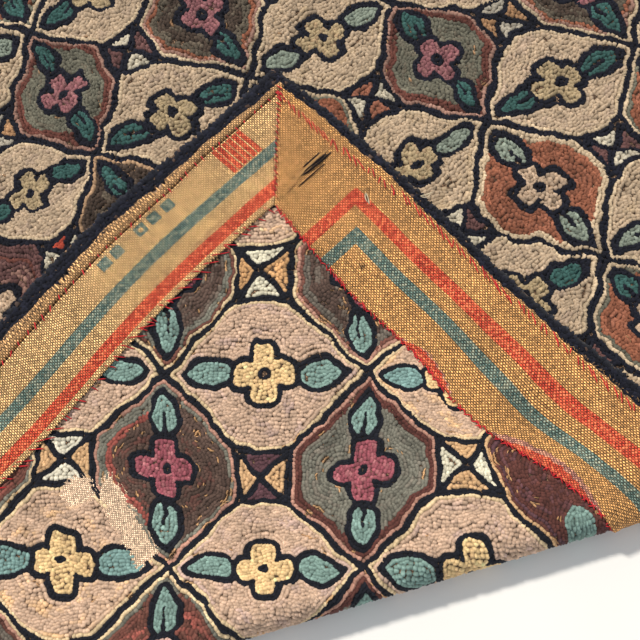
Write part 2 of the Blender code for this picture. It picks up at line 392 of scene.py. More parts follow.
def walk_rows(edges):
    """Chains of points along the cut edges of one level."""
    ways = {}
    for edge in edges:
        for vert in edge.verts:
            ways.setdefault(vert, []).append(edge)
    left = set(edges)
    ends = [vert for vert, meeting in ways.items() if len(meeting) == 1]
    starts = ends + list(ways)
    for start in starts:
        here = start
        chain = [here]
        while True:
            onward = [edge for edge in ways[here] if edge in left]
            if not onward:
                break
            left.discard(onward[0])
            here = onward[0].other_vert(here)
            chain.append(here)
        if len(chain) > 2:
            yield np.array([(vert.co.x, vert.co.y) for vert in chain])


def spaced_along(chain, pitch, maker):
    """Points one loop apart along a chain, and the way the row runs at each."""
    steps = np.linalg.norm(np.diff(chain, axis=0), axis=1)
    walked = np.concatenate(([0.0], np.cumsum(steps)))
    count = int(round(walked[-1] / pitch))
    if count < 1:
        return np.zeros((0, 2)), np.zeros((0, 2))
    places = (np.arange(count) + maker.uniform(0.2, 0.8)) * walked[-1] / count
    places = places + maker.normal(0.0, 0.08 * pitch, count)

    def at(distances):
        return np.stack([np.interp(distances, walked, chain[:, axis]) for axis in (0, 1)], axis=1)

    return at(places), unit(at(places + 0.0008) - at(places - 0.0008))


TEMPLATE_STEPS = 96
CLOSEST_LOOPS = 0.70
WIDEST_GAP = 0.84


def straight_rows(light, size, hooking, maker):
    """Loops in plain rows across a cell, for the middles that the outlines' own rows leave open."""
    pitch = hooking["pitch"]
    steps = int(2.0 * HALF_DIAGONAL / pitch) + 2
    rank = (np.arange(steps) - 0.5 * steps) * pitch
    along, across = np.meshgrid(rank, rank)
    along = along + maker.uniform(-0.5, 0.5, (steps, 1)) * pitch
    along = (along + maker.normal(0.0, 0.13 * pitch, along.shape)).ravel()
    across = (across + maker.normal(0.0, 0.10 * pitch, across.shape)).ravel()
    across = across + 0.0016 * np.sin(along / 0.011) + 0.0008 * np.sin(along / 0.0045 + 1.0)
    u = 0.5 + 0.5 * (along + across) / HALF_DIAGONAL
    v = 0.5 + 0.5 * (across - along) / HALF_DIAGONAL
    depth, region, _ = motif_fields(along, across, size, not light, hooking)
    rows = np.where(region == GROUND, FOLLOWING_ROWS[light], STRAIGHT_FROM)
    kept = (u > 0.0) & (u < 1.0) & (v > 0.0) & (v < 1.0)
    kept &= depth > hooking["outline"] + (rows + 0.1) * pitch
    places = np.stack((u, v), axis=1)[kept] * CELL_SIZE
    return places, np.tile(np.array((1.0, -1.0)) / math.sqrt(2.0), (len(places), 1))


def hooked_cell(light, size, hooking, seed):
    """Loops of one cell in metres: rows that follow every drawn line, then plain rows between."""
    maker = np.random.default_rng(seed)
    pitch = hooking["pitch"]
    outline = hooking["outline"]
    mesh = bmesh.new()
    bmesh.ops.create_grid(mesh, x_segments=TEMPLATE_STEPS, y_segments=TEMPLATE_STEPS, size=0.5)
    places = np.array([vert.co[:2] for vert in mesh.verts]) + 0.5
    depth, region, _ = motif_fields(*cell_axes(places[:, 0], places[:, 1]), size, not light, hooking)
    for vert, place, height in zip(mesh.verts, places, depth):
        vert.co = (place[0] * CELL_SIZE, place[1] * CELL_SIZE, height)
    kept = np.zeros((0, 2))
    ways = np.zeros((0, 2))

    def take(points, directions):
        nonlocal kept, ways
        for point, direction in zip(points, directions):
            if len(kept) and np.hypot(*(kept - point).T).min() < CLOSEST_LOOPS * pitch:
                continue
            kept = np.vstack((kept, point))
            ways = np.vstack((ways, direction))

    level = 0.5 * outline
    row = 0
    while level < depth.max() and row <= FOLLOWING_ROWS[light]:
        cut = bmesh.ops.bisect_plane(
            mesh,
            geom=mesh.verts[:] + mesh.edges[:] + mesh.faces[:],
            dist=1e-7,
            plane_co=(0.0, 0.0, level),
            plane_no=(0.0, 0.0, 1.0),
        )["geom_cut"]
        for chain in walk_rows([item for item in cut if isinstance(item, bmesh.types.BMEdge)]):
            points, directions = spaced_along(chain, pitch, maker)
            axes = cell_axes(points[:, 0] / CELL_SIZE, points[:, 1] / CELL_SIZE)
            _, regions, _ = motif_fields(*axes, size, not light, hooking)
            follows = (regions == GROUND) | (row <= STRAIGHT_FROM)
            take(points[follows], directions[follows])
        level = outline + (row + 0.5) * pitch
        row += 1
    mesh.free()
    take(*straight_rows(light, size, hooking, maker))

    grid = (np.arange(TEMPLATE_STEPS) + 0.5) / TEMPLATE_STEPS * CELL_SIZE
    spare = np.stack(np.meshgrid(grid, grid), axis=-1).reshape(-1, 2)
    room = np.full(len(spare), 1.0)
    for point in kept:
        room = np.minimum(room, np.hypot(*(spare - point).T))
    border = np.minimum(spare, CELL_SIZE - spare).min(axis=1)
    room = np.minimum(room, border + 0.5 * outline)
    while room.max() > WIDEST_GAP * pitch:
        point = spare[int(room.argmax())]
        near = np.hypot(*(kept - point).T).argmin()
        kept = np.vstack((kept, point))
        ways = np.vstack((ways, ways[near]))
        room = np.minimum(room, np.hypot(*(spare - point).T))
    return kept / CELL_SIZE, ways


def crossing_places():
    """Real sheet places of all crossings of the trellis."""
    places = {}
    for column in range(-2, LAST_COLUMN + 1):
        for row in range(-2, LAST_ROW + 1):
            s = COLUMNS.get(column, COLUMNS[5] + (column - 5) * CELL_SIZE)
            t = ROWS.get(row, ROWS[6] + (row - 6) * FAR_ROW_STEP)
            jitter = random.uniform(-CROSSING_JITTER, CROSSING_JITTER, 2)
            known = column in COLUMNS and row in ROWS
            nudge = CROSSING_NUDGES.get((column, row), (0.0, 0.0))
            spread = KNOWN_JITTER if known else 1.0
            places[column, row] = np.array((s, t)) + nudge + jitter * spread
    return places


STRIP_TONES = random.normal(0.0, 1.0, 997)
BARE_CHANCES = random.uniform(0.0, 1.0, 991)
STRIP_RUN = 0.8
BARE_RUN = 0.26


def yarn_colours(cell, side, fields, axes, s, t):
    """The colour of every loop of one cell, and 1 where a bare thread shows instead of wool."""
    column, row = cell
    depth, region, edge_distance = fields
    leaf_axis, box_axis = axes
    hooking = HOOKING[side]
    light = (column + row) % 2 == 0
    others = OTHER_LIGHT_GROUNDS if light else OTHER_DARK_GROUNDS
    default = others[(column * 5 + row * 3) % len(others)]
    ground = GROUNDS[CELL_GROUNDS.get(cell, default)]
    yarn = {name: linear(tones[side]) for name, tones in YARNS.items()}
    count = len(s)
    colours = np.zeros((count, 3))

    band = np.maximum(((edge_distance - hooking["outline"]) / hooking["pitch"]).astype(int), 0)
    for half in (False, True):
        rows = ground.get("other_rows", ground["rows"]) if half else ground["rows"]
        for index, name in enumerate(rows):
            last = index == len(rows) - 1
            chosen = (band >= index) if last else (band == index)
            chosen &= (region == GROUND) & ((box_axis > 0.0) == half)
            colours[chosen] = yarn[name]
    deep = (region == GROUND) & (band >= len(ground["rows"]) - 1)
    angle = np.arctan2(box_axis, leaf_axis)
    start = band * 37 + column * 101 + row * 57
    run = start + (angle / STRIP_RUN * (1.0 + band * 0.3)).astype(int) * 11
    strip = STRIP_TONES[run % len(STRIP_TONES)]
    patch = soft_noise(s, t, 0.030, 3) + 0.6 * strip
    if light:
        share = smooth_step(0.5 * patch) * 0.8
    else:
        share = 0.75 * smooth_step(0.6 * strip)
    share = (share * deep)[:, None]
    colours = colours * (1.0 - share) + yarn[ground["mix"]] * share

    colours[region == FLOWER] = yarn[ground["flower"]]
    colours[region == LEAF] = yarn[ground["leaf"]]
    petal_mix = (0.5 * smooth_step(soft_noise(s, t, 0.008, 4)) * (region == FLOWER))[:, None]
    colours = colours * (1.0 - petal_mix) + yarn[ground["petal_mix"]] * petal_mix
    for upper in (False, True):
        crossing = (column + (upper == light), row + upper)
        default = OTHER_BOX_YARNS[(crossing[0] + 2 * crossing[1]) % len(OTHER_BOX_YARNS)]
        pair = BOX_YARNS.get(crossing, default)
        chosen = (region == BOX) & ((box_axis > 0.0) == upper)
        colours[chosen] = yarn[pair["light" if light else "dark"]]

    streaks = soft_noise(s, t, 0.020, 6) + 0.3 * soft_noise(s, t, 0.006, 8)
    run = start + np.floor(angle / BARE_RUN).astype(int) * 29
    bare = BARE_CHANCES[run % len(BARE_CHANCES)] < ground["specks"][side] * smooth_step(streaks + 0.2)
    bare &= (region == GROUND) & (depth > hooking["outline"])
    colours[bare] = 0.25 * colours[bare] + 0.75 * yarn["orange_tan"]

    drawn = depth < hooking["outline"]
    if "undrawn" in ground:
        drawn &= edge_distance < hooking["outline"]
    colours[drawn] = yarn["navy"]

    uneven = 0.05 if light else 0.11
    strip_tone = 1.0 + 0.06 * soft_noise(s, t, 0.018, 5) + uneven * soft_noise(s, t, 0.075, 7)
    strip_tone = strip_tone * (1.0 + 1.1 * uneven * strip)
    loop_tone = 1.0 + hooking["tone"] * random.standard_normal(count)
    colours = np.clip(colours * (strip_tone * loop_tone)[:, None], 0.0, 1.0)
    return np.column_stack((colours, bare))


CELL_SIZES = (1.0, 0.95)
WANDERS = table("depth wave", ((0.0022, 0.055), (0.0009, 0.017)))


def wandered(flat, share):
    """Sheet places moved as an unsteady hand draws them."""
    moved = flat.copy()
    for count, row in enumerate(WANDERS):
        for axis in (0, 1):
            noise = soft_noise(flat[:, 0], flat[:, 1], row["wave"], 20 + 2 * count + axis)
            moved[:, axis] += share * row["depth"] * noise
    return moved


def hook_pattern(crossings, side):
    """All loops of one face in real sheet measure: place, way of the row, colour and bareness."""
    hooking = HOOKING[side]
    cells = {
        (light, size): hooked_cell(light, size, hooking, 11 * count + light)
        for light in (False, True)
        for count, size in enumerate(CELL_SIZES)
    }
    parts = []
    for column in range(-2, LAST_COLUMN):
        for row in range(-2, LAST_ROW):
            light = (column + row) % 2 == 0
            size = CELL_SIZES[(column + 2 * row) % 2]
            uv, ways = cells[light, size]
            axes = cell_axes(uv[:, 0], uv[:, 1])
            veined = not light or (side == "front" and (column * 3 + row) % 4 != 0)
            fields = motif_fields(*axes, size, veined, hooking)
            if not light:
                uv = np.stack((1.0 - uv[:, 0], uv[:, 1]), axis=1)
                ways = ways * (-1.0, 1.0)
            corners = [crossings[column + du, row + dv] for du in (0, 1) for dv in (0, 1)]

            def on_sheet(place):
                u = place[:, :1]
                v = place[:, 1:]
                low = corners[0] * (1.0 - v) + corners[1] * v
                high = corners[2] * (1.0 - v) + corners[3] * v
                return wandered(low * (1.0 - u) + high * u, hooking["wander"])

            place = on_sheet(uv)
            way = unit(on_sheet(uv + ways * 0.004) - place)
            turn = np.radians(random.normal(0.0, hooking["sway"], len(way)))
            way = np.stack((
                way[:, 0] * np.cos(turn) - way[:, 1] * np.sin(turn),
                way[:, 0] * np.sin(turn) + way[:, 1] * np.cos(turn),
            ), axis=1)
            place = place + random.normal(0.0, 0.00028, place.shape)
            colours = yarn_colours((column, row), side, fields, axes, place[:, 0], place[:, 1])
            parts.append(np.column_stack((place, way, colours)))
    return np.concatenate(parts)


# Heights off the middle of the rug's thickness: the wool on both faces, and the cloth between
PILE_BASE = 0.0012
PILE_TOP = 0.0049
STITCH_BASE = -0.0030
STITCH_TOP = -0.0051
CLOTH_TOP = 0.0008
CLOTH_BOTTOM = -0.0026
EDGE_ROUNDING = 0.005
WORN_EDGE = 0.010
NAVY_RIM = 0.0150
HIDDEN_MARGIN = 0.020
OPEN_FOLD_END = 0.080
ROLL_SHOWS = 0.030
PILE_PIECES = 5
FLOOR_GAP = 0.0002

# One loop of the pile: a low hipped mound. Columns: along the row, across it, height share
PILE_CORNERS = ((-1.0, -1.0, 0.0), (1.0, -1.0, 0.0), (1.0, 1.0, 0.0), (-1.0, 1.0, 0.0),
                (-0.42, 0.0, 1.0), (0.42, 0.0, 1.0))
PILE_FACES = ((0, 1, 5, 4), (2, 3, 4, 5), (1, 2, 5), (3, 0, 4))

# One flat stitch of the back, with six corners and a ridge. Columns as above
STITCH_CORNERS = ((-1.05, 0.0, 0.0), (-0.6, -1.0, 0.0), (0.6, -1.0, 0.0), (1.05, 0.0, 0.0),
                  (0.6, 1.0, 0.0), (-0.6, 1.0, 0.0), (-0.45, 0.0, 1.0), (0.45, 0.0, 1.0))
STITCH_FACES = ((1, 2, 7, 6), (4, 5, 6, 7), (0, 1, 6), (5, 0, 6), (2, 3, 7), (3, 4, 7))
PILE_HALF = (0.0031, 0.0026)
STITCH_HALF = (0.0028, 0.0024)
# Painted shade and light: a loop's base corners are darkened to this share of its colour and its ridge
# brightened a little, for the shade between loops
LOW_SHADE = 0.46
STITCH_LOW_SHADE = 0.44
BARE_THINNER = 0.62


def linked(name, data):
    """A new object of the scene, made of its data."""
    piece = bpy.data.objects.new(name, data)
    bpy.context.scene.collection.objects.link(piece)
    return piece


def joined_mesh(name, points, faces, count, colours, sheet_places, material):
    """One mesh of many small shapes of the same faces, with a colour and a sheet place a point."""
    corners = points.reshape(-1, 3)
    each = len(corners) // count
    sizes = np.array([len(face) for face in faces])
    pattern = np.concatenate([np.array(face) for face in faces])
    indices = (np.arange(count)[:, None] * each + pattern[None, :]).ravel()
    totals = np.tile(sizes, count)
    starts = np.concatenate(([0], np.cumsum(totals)[:-1]))
    corners[:, 2] = np.maximum(corners[:, 2], FLOOR_GAP)
    data = bpy.data.meshes.new(name)
    data.vertices.add(len(corners))
    data.vertices.foreach_set("co", corners.astype(np.float32).ravel())
    data.loops.add(len(indices))
    data.loops.foreach_set("vertex_index", indices.astype(np.int32))
    data.polygons.add(len(totals))
    data.polygons.foreach_set("loop_start", starts.astype(np.int32))
    data.update(calc_edges=True)
    shades = data.color_attributes.new("yarn_colour_and_painted_shade", "FLOAT_COLOR", "POINT")
    solid = np.ones((len(corners), 4), np.float32)
    solid[:, :3] = colours.reshape(-1, 3)
    shades.data.foreach_set("color", solid.ravel())
    layer = data.uv_layers.new(name="OFBake")
    layer.data.foreach_set("uv", sheet_places.reshape(-1, 2)[indices].astype(np.float32).ravel() / UV_SPAN)
    data.shade_smooth()
    data.materials.append(material)
    return linked(name, data)


def set_loops(name, loops, shape, faces, half, lifts, jitter, low_shade, material):
    """Stand one wool loop on each real sheet place, turned along its row."""
    count = len(loops)
    place = loops[:, 0:2]
    way = loops[:, 2:4]
    colours = loops[:, 4:7]
    corners = np.array(shape)
    across = np.stack((-way[:, 1], way[:, 0]), axis=1)
    long_share = half[0] * random.uniform(1.0 - jitter, 1.0 + jitter, count)
    wide_share = half[1] * random.uniform(1.0 - 0.7 * jitter, 1.0 + 0.7 * jitter, count)
    wide_share = wide_share * (1.0 - BARE_THINNER * loops[:, 7])
    offset = (
        way[:, None, :] * (corners[None, :, :1] * long_share[:, None, None])
        + across[:, None, :] * (corners[None, :, 1:2] * wide_share[:, None, None])
    )
    offset += random.normal(0.0, 0.00024, offset.shape)
    real = place[:, None, :] + offset
    s, t = even_layout(real[..., 0], real[..., 1])
    base, top = lifts
    tops = top + (top - base) * random.normal(0.0, jitter, count)
    tilt = (top - base) * 0.16 * random.normal(0.0, 1.0, (count, 1)) * corners[None, :, 0]
    lift = base + (tops[:, None] - base + tilt) * corners[None, :, 2]
    points = space_points(s, t, lift)
    # Painted shade: base corners darker, ridge slightly lighter
    shade = low_shade + (1.04 - low_shade) * corners[None, :, 2:3]
    tints = np.clip(colours[:, None, :] * shade, 0.0, 1.0)
    return joined_mesh(name, points, faces, count, tints, np.clip(real, 0.0, UV_SPAN), material)


def edge_distance(s, t):
    """How far points of the even layout lie inside the nearest edge."""
    return np.minimum(np.minimum(s - WORN_EDGE, RUG_LENGTH - s), np.minimum(t, RUG_WIDTH - t))


RIM_STEP = 0.0037
RIM_HALF = 0.5 * RUG_THICKNESS - 0.0004


def rim_rows():
    """Places, ways and lifts of the navy loops that run round the rug's edge."""
    corners = np.array((
        (WORN_EDGE, 0.0), (RUG_LENGTH, 0.0), (RUG_LENGTH, RUG_WIDTH), (WORN_EDGE, RUG_WIDTH)))
    half = RIM_HALF
    rows = [(inset, half, 1.0) for inset in (0.0138, 0.0100, 0.0062)]
    rows += [
        (EDGE_ROUNDING * (1.0 - math.cos(turn)), half * math.sin(turn), 0.0)
        for turn in np.radians((50.0, 8.0, -40.0))
    ]
    rows += [(inset, -half, -1.0) for inset in (0.0056, 0.0092, 0.0128, 0.0164)]
    for inset, lift, face in rows:
        for side in range(4):
            start = corners[side]
            end = corners[(side + 1) % 4]
            way = (end - start) / np.linalg.norm(end - start)
            inward = np.array((-way[1], way[0]))
            length = np.linalg.norm(end - start) - 2.0 * inset
            count = int(length / RIM_STEP)
            along = (np.arange(count) + random.uniform(0.2, 0.8)) * length / count + inset
            ragged = 0.0009 * soft_noise(along, along * 0.0 + side, 0.022, 30)
            ragged += random.normal(0.0, 0.0007, count)
            place = start + along[:, None] * way + (inset + ragged[:, None]) * inward
            yield place, np.tile(way, (count, 1)), lift, face


WORN_MARGIN = 0.0010
WORN_UNDERLAP = 0.0045
WORN_AREA = (0.436, 0.496, 0.186, 0.310)
WORN_CELL = 0.0015


def worn_depth(s, t):
    """Above 0 inside the worn patch, where the loops of the back have gone."""
    below = t - 0.212
    centre = 0.4500 + 0.30 * below - 0.7 * below ** 2 + 0.0010 * np.sin(t * 260.0)
    strip = 0.0056 + 0.0040 * smooth_step(below / 0.02) - np.abs(s - centre)
    strip = np.minimum(strip, np.minimum(t - 0.2150, 0.300 - t))
    lobe = 0.0118 - np.hypot((s - 0.4752) * 0.88, t - 0.2040)
    lobe += 0.0009 * np.sin(s * 700.0) * np.sin(t * 900.0)
    return np.maximum(strip, lobe)


def wool_pieces(pile_material, stitch_material):
    """Pile where the front shows, and flat stitches where the back shows."""
    crossings = crossing_places()
    pile = hook_pattern(crossings, "front")
    stitches = hook_pattern(crossings, "back")

    s, t = even_layout(pile[:, 0], pile[:, 1])
    inside = edge_distance(s, t)
    reach = pile[:, 0] * FOLD_S + pile[:, 1] * FOLD_T
    beyond = reach - ROLL_START
    over_s = pile[:, 0] - (reach - ROLL_END + beyond) * FOLD_S
    over_t = pile[:, 1] - (reach - ROLL_END + beyond) * FOLD_T
    hidden = (beyond > 0.0) & (over_s > HIDDEN_MARGIN) & (over_t > HIDDEN_MARGIN)
    at_fold_end = (reach > ROLL_END - SETTLING_RUN) & (inside < OPEN_FOLD_END)
    pile = pile[(inside > NAVY_RIM) & ~hidden & ((beyond > 0.0) | at_fold_end)]
    pile = pile[np.argsort(pile[:, 0])]
    pieces = [
        set_loops(
            "pile_%d" % (index + 1), group, PILE_CORNERS, PILE_FACES, PILE_HALF,
            (PILE_BASE, PILE_TOP), 0.18, LOW_SHADE, pile_material,
        )
        for index, group in enumerate(np.array_split(pile, PILE_PIECES))
    ]

    s, t = even_layout(stitches[:, 0], stitches[:, 1])
    under_long = (t > 0.022) & (t < LONG_STRIP[1] - 0.006)
    under_short = (s > 0.028) & (s < SHORT_STRIP[1] - 0.007)
    bare = worn_depth(stitches[:, 0], stitches[:, 1]) > -WORN_MARGIN
    reach = stitches[:, 0] * FOLD_S + stitches[:, 1] * FOLD_T
    shows = (edge_distance(s, t) > NAVY_RIM + 0.003) & (reach < ROLL_START + ROLL_SHOWS)
    shows &= ~(under_long | under_short | bare)
    pieces.append(set_loops(
        "back_stitches", stitches[shows], STITCH_CORNERS, STITCH_FACES, STITCH_HALF,
        (STITCH_BASE, STITCH_TOP), 0.14, STITCH_LOW_SHADE, stitch_material,
    ))
    return pieces


RIM_LOOP = (0.0031, 0.0029, 0.0037)
BROWN_LOOPS = 0.02


def rim_piece(material):
    """The navy loops round the edge, standing out from its rounded side."""
    points = []
    tints = []
    spots = []
    corners = np.array(PILE_CORNERS)
    for place, way, lift, face in rim_rows():
        reach = place @ np.array((FOLD_S, FOLD_T))
        keep = np.full(len(place), True) if face >= 0.0 else reach < ROLL_START + ROLL_SHOWS
        place = place[keep]
        way = way[keep]
        count = len(place)
        lifts = np.full(count, lift)
        middle = space_points(place[:, 0], place[:, 1], lifts)
        inward = np.stack((-way[:, 1], way[:, 0]), axis=1)
        turn = np.radians(random.normal(0.0, 28.0, count))[:, None]
        leaning = way * np.cos(turn) + inward * np.sin(turn)
        ahead = unit(space_points(*(place + leaning * 0.001).T, lifts) - middle)
        inner = unit(space_points(*(place + inward * 0.001).T, lifts) - middle)
        rise = math.asin(max(-1.0, min(1.0, lift / RIM_HALF)))
        normal = pile_normals(place[:, 0], place[:, 1])
        out = unit(normal * math.sin(rise) - inner * math.cos(rise) * (face == 0.0))
        side = unit(np.cross(out, ahead))
        size = random.uniform(0.72, 1.28, (count, 3)) * np.array(RIM_LOOP)
        stand = corners[None, :, 2:3] * size[:, None, 2:3] - 0.0026
        loops = (
            middle[:, None, :]
            + ahead[:, None, :] * corners[None, :, 0:1] * size[:, None, 0:1]
            + side[:, None, :] * corners[None, :, 1:2] * size[:, None, 1:2]
            + out[:, None, :] * stand
        )
        points.append(loops + random.normal(0.0, 0.0003, loops.shape))
        brown = random.uniform(size=(count, 1, 1)) < BROWN_LOOPS
        yarn = np.where(brown, linear(YARNS["umber"]["back"]), linear(YARNS["navy"]["front"]))
        tone = np.exp(0.30 * random.standard_normal((count, 1, 1)))
        # Painted shade and light: base corners of each rim loop darker, the ridge lighter
        shade = LOW_SHADE + (1.1 - LOW_SHADE) * corners[None, :, 2:3]
        tints.append(np.clip(yarn * tone * shade, 0.0, 1.0))
        spots.append(np.clip(place[:, None, :] + corners[None, :, :2] * 0.002, 0.0, UV_SPAN))
    points = np.concatenate(points)
    return joined_mesh(
        "rim_loops", points, PILE_FACES, len(points),
        np.concatenate(tints), np.concatenate(spots), material,
    )


def flat_grid(low_s, high_s, low_t, high_t, cell):
    """A flat sheet of cells in the even layout."""
    mesh = bmesh.new()
    cells_s = max(int(round((high_s - low_s) / cell)), 1)
    cells_t = max(int(round((high_t - low_t) / cell)), 1)
    bmesh.ops.create_grid(mesh, x_segments=cells_s, y_segments=cells_t, size=0.5)
    for vert in mesh.verts:
        vert.co.x = low_s + (vert.co.x + 0.5) * (high_s - low_s)
        vert.co.y = low_t + (vert.co.y + 0.5) * (high_t - low_t)
    return mesh


def cut_flat(mesh, point, normal, clear_outer=False, among=None):
    """Cut a flat sheet, or the faces named, along a straight line, and drop what is beyond if asked."""
    geometry = mesh.verts[:] + mesh.edges[:] + mesh.faces[:]
    if among is not None:
        edges = {edge for face in among for edge in face.edges}
        geometry = list({vert for face in among for vert in face.verts}) + list(edges) + among
    bmesh.ops.bisect_plane(
        mesh,
        geom=geometry,
        dist=0.00002,
        plane_co=(point[0], point[1], 0.0),
        plane_no=(normal[0], normal[1], 0.0),
        clear_outer=clear_outer,
    )


def cut_lines(mesh, places_s, places_t, choose=None):
    """Cut a flat sheet, or the faces that choose gives, square across at places along each side."""
    for places, normal in ((places_s, (1.0, 0.0)), (places_t, (0.0, 1.0))):
        for place in places:
            point = (place * normal[0], place * normal[1])
            cut_flat(mesh, point, normal, among=choose() if choose else None)


ROLL_CUTS = 10


def cut_fold_lines(mesh):
    """Lines square to the way of the fold, close together where the cloth rolls over."""
    for step in range(-1, ROLL_CUTS + 2):
        distance = ROLL_START - math.pi * ROLL_RADIUS * step / ROLL_CUTS
        cut_flat(mesh, (distance * FOLD_S, distance * FOLD_T), (FOLD_S, FOLD_T))


def no_drift(s, t):
    """Cloth that lies where it was cut."""
    return s, t


def two_sided(name, mesh, top, bottom, materials, pick_material=None, drift=no_drift):
    """Give a flat sheet its two faces and closed edges, and carry it through the fold."""
    lower = mesh.faces[:]
    raised = bmesh.ops.extrude_face_region(mesh, geom=lower, use_keep_orig=True)["geom"]
    upper = {item for item in raised if isinstance(item, bmesh.types.BMVert)}
    layer = mesh.loops.layers.uv.new("OFBake")
    for face in mesh.faces:
        if pick_material is not None:
            centre = face.calc_center_median()
            face.material_index = pick_material(centre.x, centre.y)
        for loop in face.loops:
            loop[layer].uv = loop.vert.co.xy / UV_SPAN
        face.smooth = True
    s = np.array([vert.co.x for vert in mesh.verts])
    t = np.array([vert.co.y for vert in mesh.verts])
    is_upper = np.array([vert in upper for vert in mesh.verts])
    lift = np.where(is_upper, top(s, t), bottom(s, t))
    for vert, point in zip(mesh.verts, space_points(*drift(s, t), lift)):
        vert.co = (point[0], point[1], max(point[2], FLOOR_GAP))
    bmesh.ops.recalc_face_normals(mesh, faces=mesh.faces[:])
    data = bpy.data.meshes.new(name)
    mesh.to_mesh(data)
    mesh.free()
    for material in materials:
        data.materials.append(material)
    return linked(name, data)


FOUNDATION_CELL = 0.0200


def foundation_piece(material):
    """The burlap that the loops are hooked through, from edge to edge."""
    mesh = flat_grid(WORN_EDGE, RUG_LENGTH, 0.0, RUG_WIDTH, FOUNDATION_CELL)
    for inset in (0.0015, EDGE_ROUNDING):
        cut_lines(mesh, (WORN_EDGE + inset, RUG_LENGTH - inset), (inset, RUG_WIDTH - inset))
    cut_fold_lines(mesh)

    def rounded(s, t):
        depth = np.clip(edge_distance(s, t) / EDGE_ROUNDING, 0.0, 1.0)
        return np.maximum(np.sqrt(1.0 - (1.0 - depth) ** 2), 0.3)

    return two_sided(
        "foundation",
        mesh,
        top=lambda s, t: CLOTH_TOP * rounded(s, t),
        bottom=lambda s, t: CLOTH_BOTTOM * rounded(s, t),
        materials=[material],
    )


# Binding strips, their stripes and marks, in the even layout: from the outer edge to the inner one
LONG_STRIP = (0.0278, 0.1195)
LONG_TEAL = (0.0655, 0.0785)
LONG_RED = (0.0980, 0.1120)
SHORT_STRIP = (0.0225, 0.1335)
SHORT_RED = (0.0555, 0.0695)
SHORT_TEAL = (0.0835, 0.0965)
RED_TURN = (0.1660, 0.1800)
TEAL_TURN = (0.1980, 0.2110)
MARK_SIZE = 0.0135
MARK_LOW = 0.0315
MARK_STARTS = (0.2015, 0.2215, 0.2400, 0.2745, 0.2925)
HOLLOW_MARK = 0.2400
HOLLOW_INSET = 0.004
LABEL_PATCH = {"low_s": 0.093, "high_s": 0.135, "low_t": 0.0290, "high_t": 0.0640}
LABEL_LINE = 0.0014
LABEL_STEP = 0.0070
BLEEDS = table("t half_long width mauve", (
    (0.513, 0.064, 0.0195, 0.0068),
    (0.356, 0.042, 0.0110, 0.0016),
))
BLEED_CUTS = {"s": (0.1135, 0.1330, 0.0013), "t": (0.314, 0.580, 0.0024)}
PUCKER_STEP = 0.0135
# Material slots of the hem and strips; GROOVE is the slot of the painted shade along the seam
PLAIN, RED, TEAL, MAUVE, GROOVE = range(5)
STRIP_FACE = -(0.5 * RUG_THICKNESS + BINDING_GAP)
HEM_OUTER = 0.0165
HEM_INNER = 0.0345
HEM_ENDS = (0.020, RUG_LENGTH - 0.018)
HEM_CELL = 0.0032
HEM_RAGGED = 0.0010
HEM_TOP = -0.0024
HEM_LOW = -0.0030
SEAM_SLOPE = 0.0012
SEAM = (0.0258, 0.0276)
SEAM_SHIFT = {"start": 0.13, "run": 0.08, "shift": 0.005, "fades_at": 0.065}
PRINT_SHIFT = {"start": 0.40, "run": 0.10}
PRINT_SHIFTS = ((0.0225, 0.005), (0.0625, 0.009), (0.0900, 0.014), (0.1335, 0.004))


def long_drift(s, t):
    """The seam and the outer edge of the long strip run further in beyond the folded corner."""
    grown = smooth_step((s - SEAM_SHIFT["start"]) / SEAM_SHIFT["run"])
    window = 1.0 - smooth_step((t - SEAM[1]) / (SEAM_SHIFT["fades_at"] - SEAM[1]))
    return s, t + SEAM_SHIFT["shift"] * grown * window * (t > HEM_OUTER + 0.002)


def short_drift(s, t):
    """The printed stripes of the short strip lie further in where the cloth is pulled askew."""
    places, shifts = np.array(PRINT_SHIFTS).T
    grown = smooth_step((t - PRINT_SHIFT["start"]) / PRINT_SHIFT["run"])
    grown = grown * (1.0 - smooth_step((t - 0.75) / 0.2))
    return s + np.interp(s, places, shifts) * grown, t


def long_print(s, t):
    """The printed colour at a place on the long strip: stripes, small blocks and a hatched patch."""
    if LONG_TEAL[0] < t < LONG_TEAL[1]:
        return TEAL
    if LONG_RED[0] < t < LONG_RED[1]:
        return RED
    for start in MARK_STARTS:
        if start < s < start + MARK_SIZE and MARK_LOW < t < MARK_LOW + MARK_SIZE:
            middle = max(abs(s - start - 0.5 * MARK_SIZE), abs(t - MARK_LOW - 0.5 * MARK_SIZE))
            hollow = start == HOLLOW_MARK and middle < 0.5 * MARK_SIZE - HOLLOW_INSET
            return PLAIN if hollow else TEAL
    in_patch = LABEL_PATCH["low_s"] < s < LABEL_PATCH["high_s"]
    if in_patch and LABEL_PATCH["low_t"] < t < LABEL_PATCH["high_t"]:
        return PLAIN if (s - LABEL_PATCH["low_s"]) % LABEL_STEP > LABEL_STEP - LABEL_LINE else RED
    return PLAIN


def short_print(s, t):
    """The printed colour at a place on the short strip: two stripes that turn, and bled dye."""
    if s > SHORT_RED[0] and t > RED_TURN[0] and (s < SHORT_RED[1] or t < RED_TURN[1]):
        return RED
    if s > SHORT_TEAL[0] and t > TEAL_TURN[0] and (s < SHORT_TEAL[1] or t < TEAL_TURN[1]):
        return TEAL
    ragged = 0.0009 * math.sin(t * 410.0 + s * 900.0) + 0.0006 * math.sin(t * 1270.0 + s * 3100.0)
    for row in BLEEDS:
        width = row["width"] * (1.0 - ((t - row["t"]) / row["half_long"]) ** 2)
        inward = s - (SHORT_STRIP[1] - width) + ragged
        if width > 0.0 and inward > 0.0:
            return MAUVE if inward < row["mauve"] else RED
    return PLAIN


def strip_swell(inner, outer, along):
    """How far a strip stands up off the back: a turned outer edge, puckers at its whipped edge."""
    turned = 0.0007 * np.exp(-(outer / 0.0032) ** 2)
    pucker = 0.0011 * (0.5 + 0.5 * np.sin(2.0 * math.pi * along / PUCKER_STEP))
    pucker = pucker * np.exp(-inner / 0.007)
    return turned + pucker


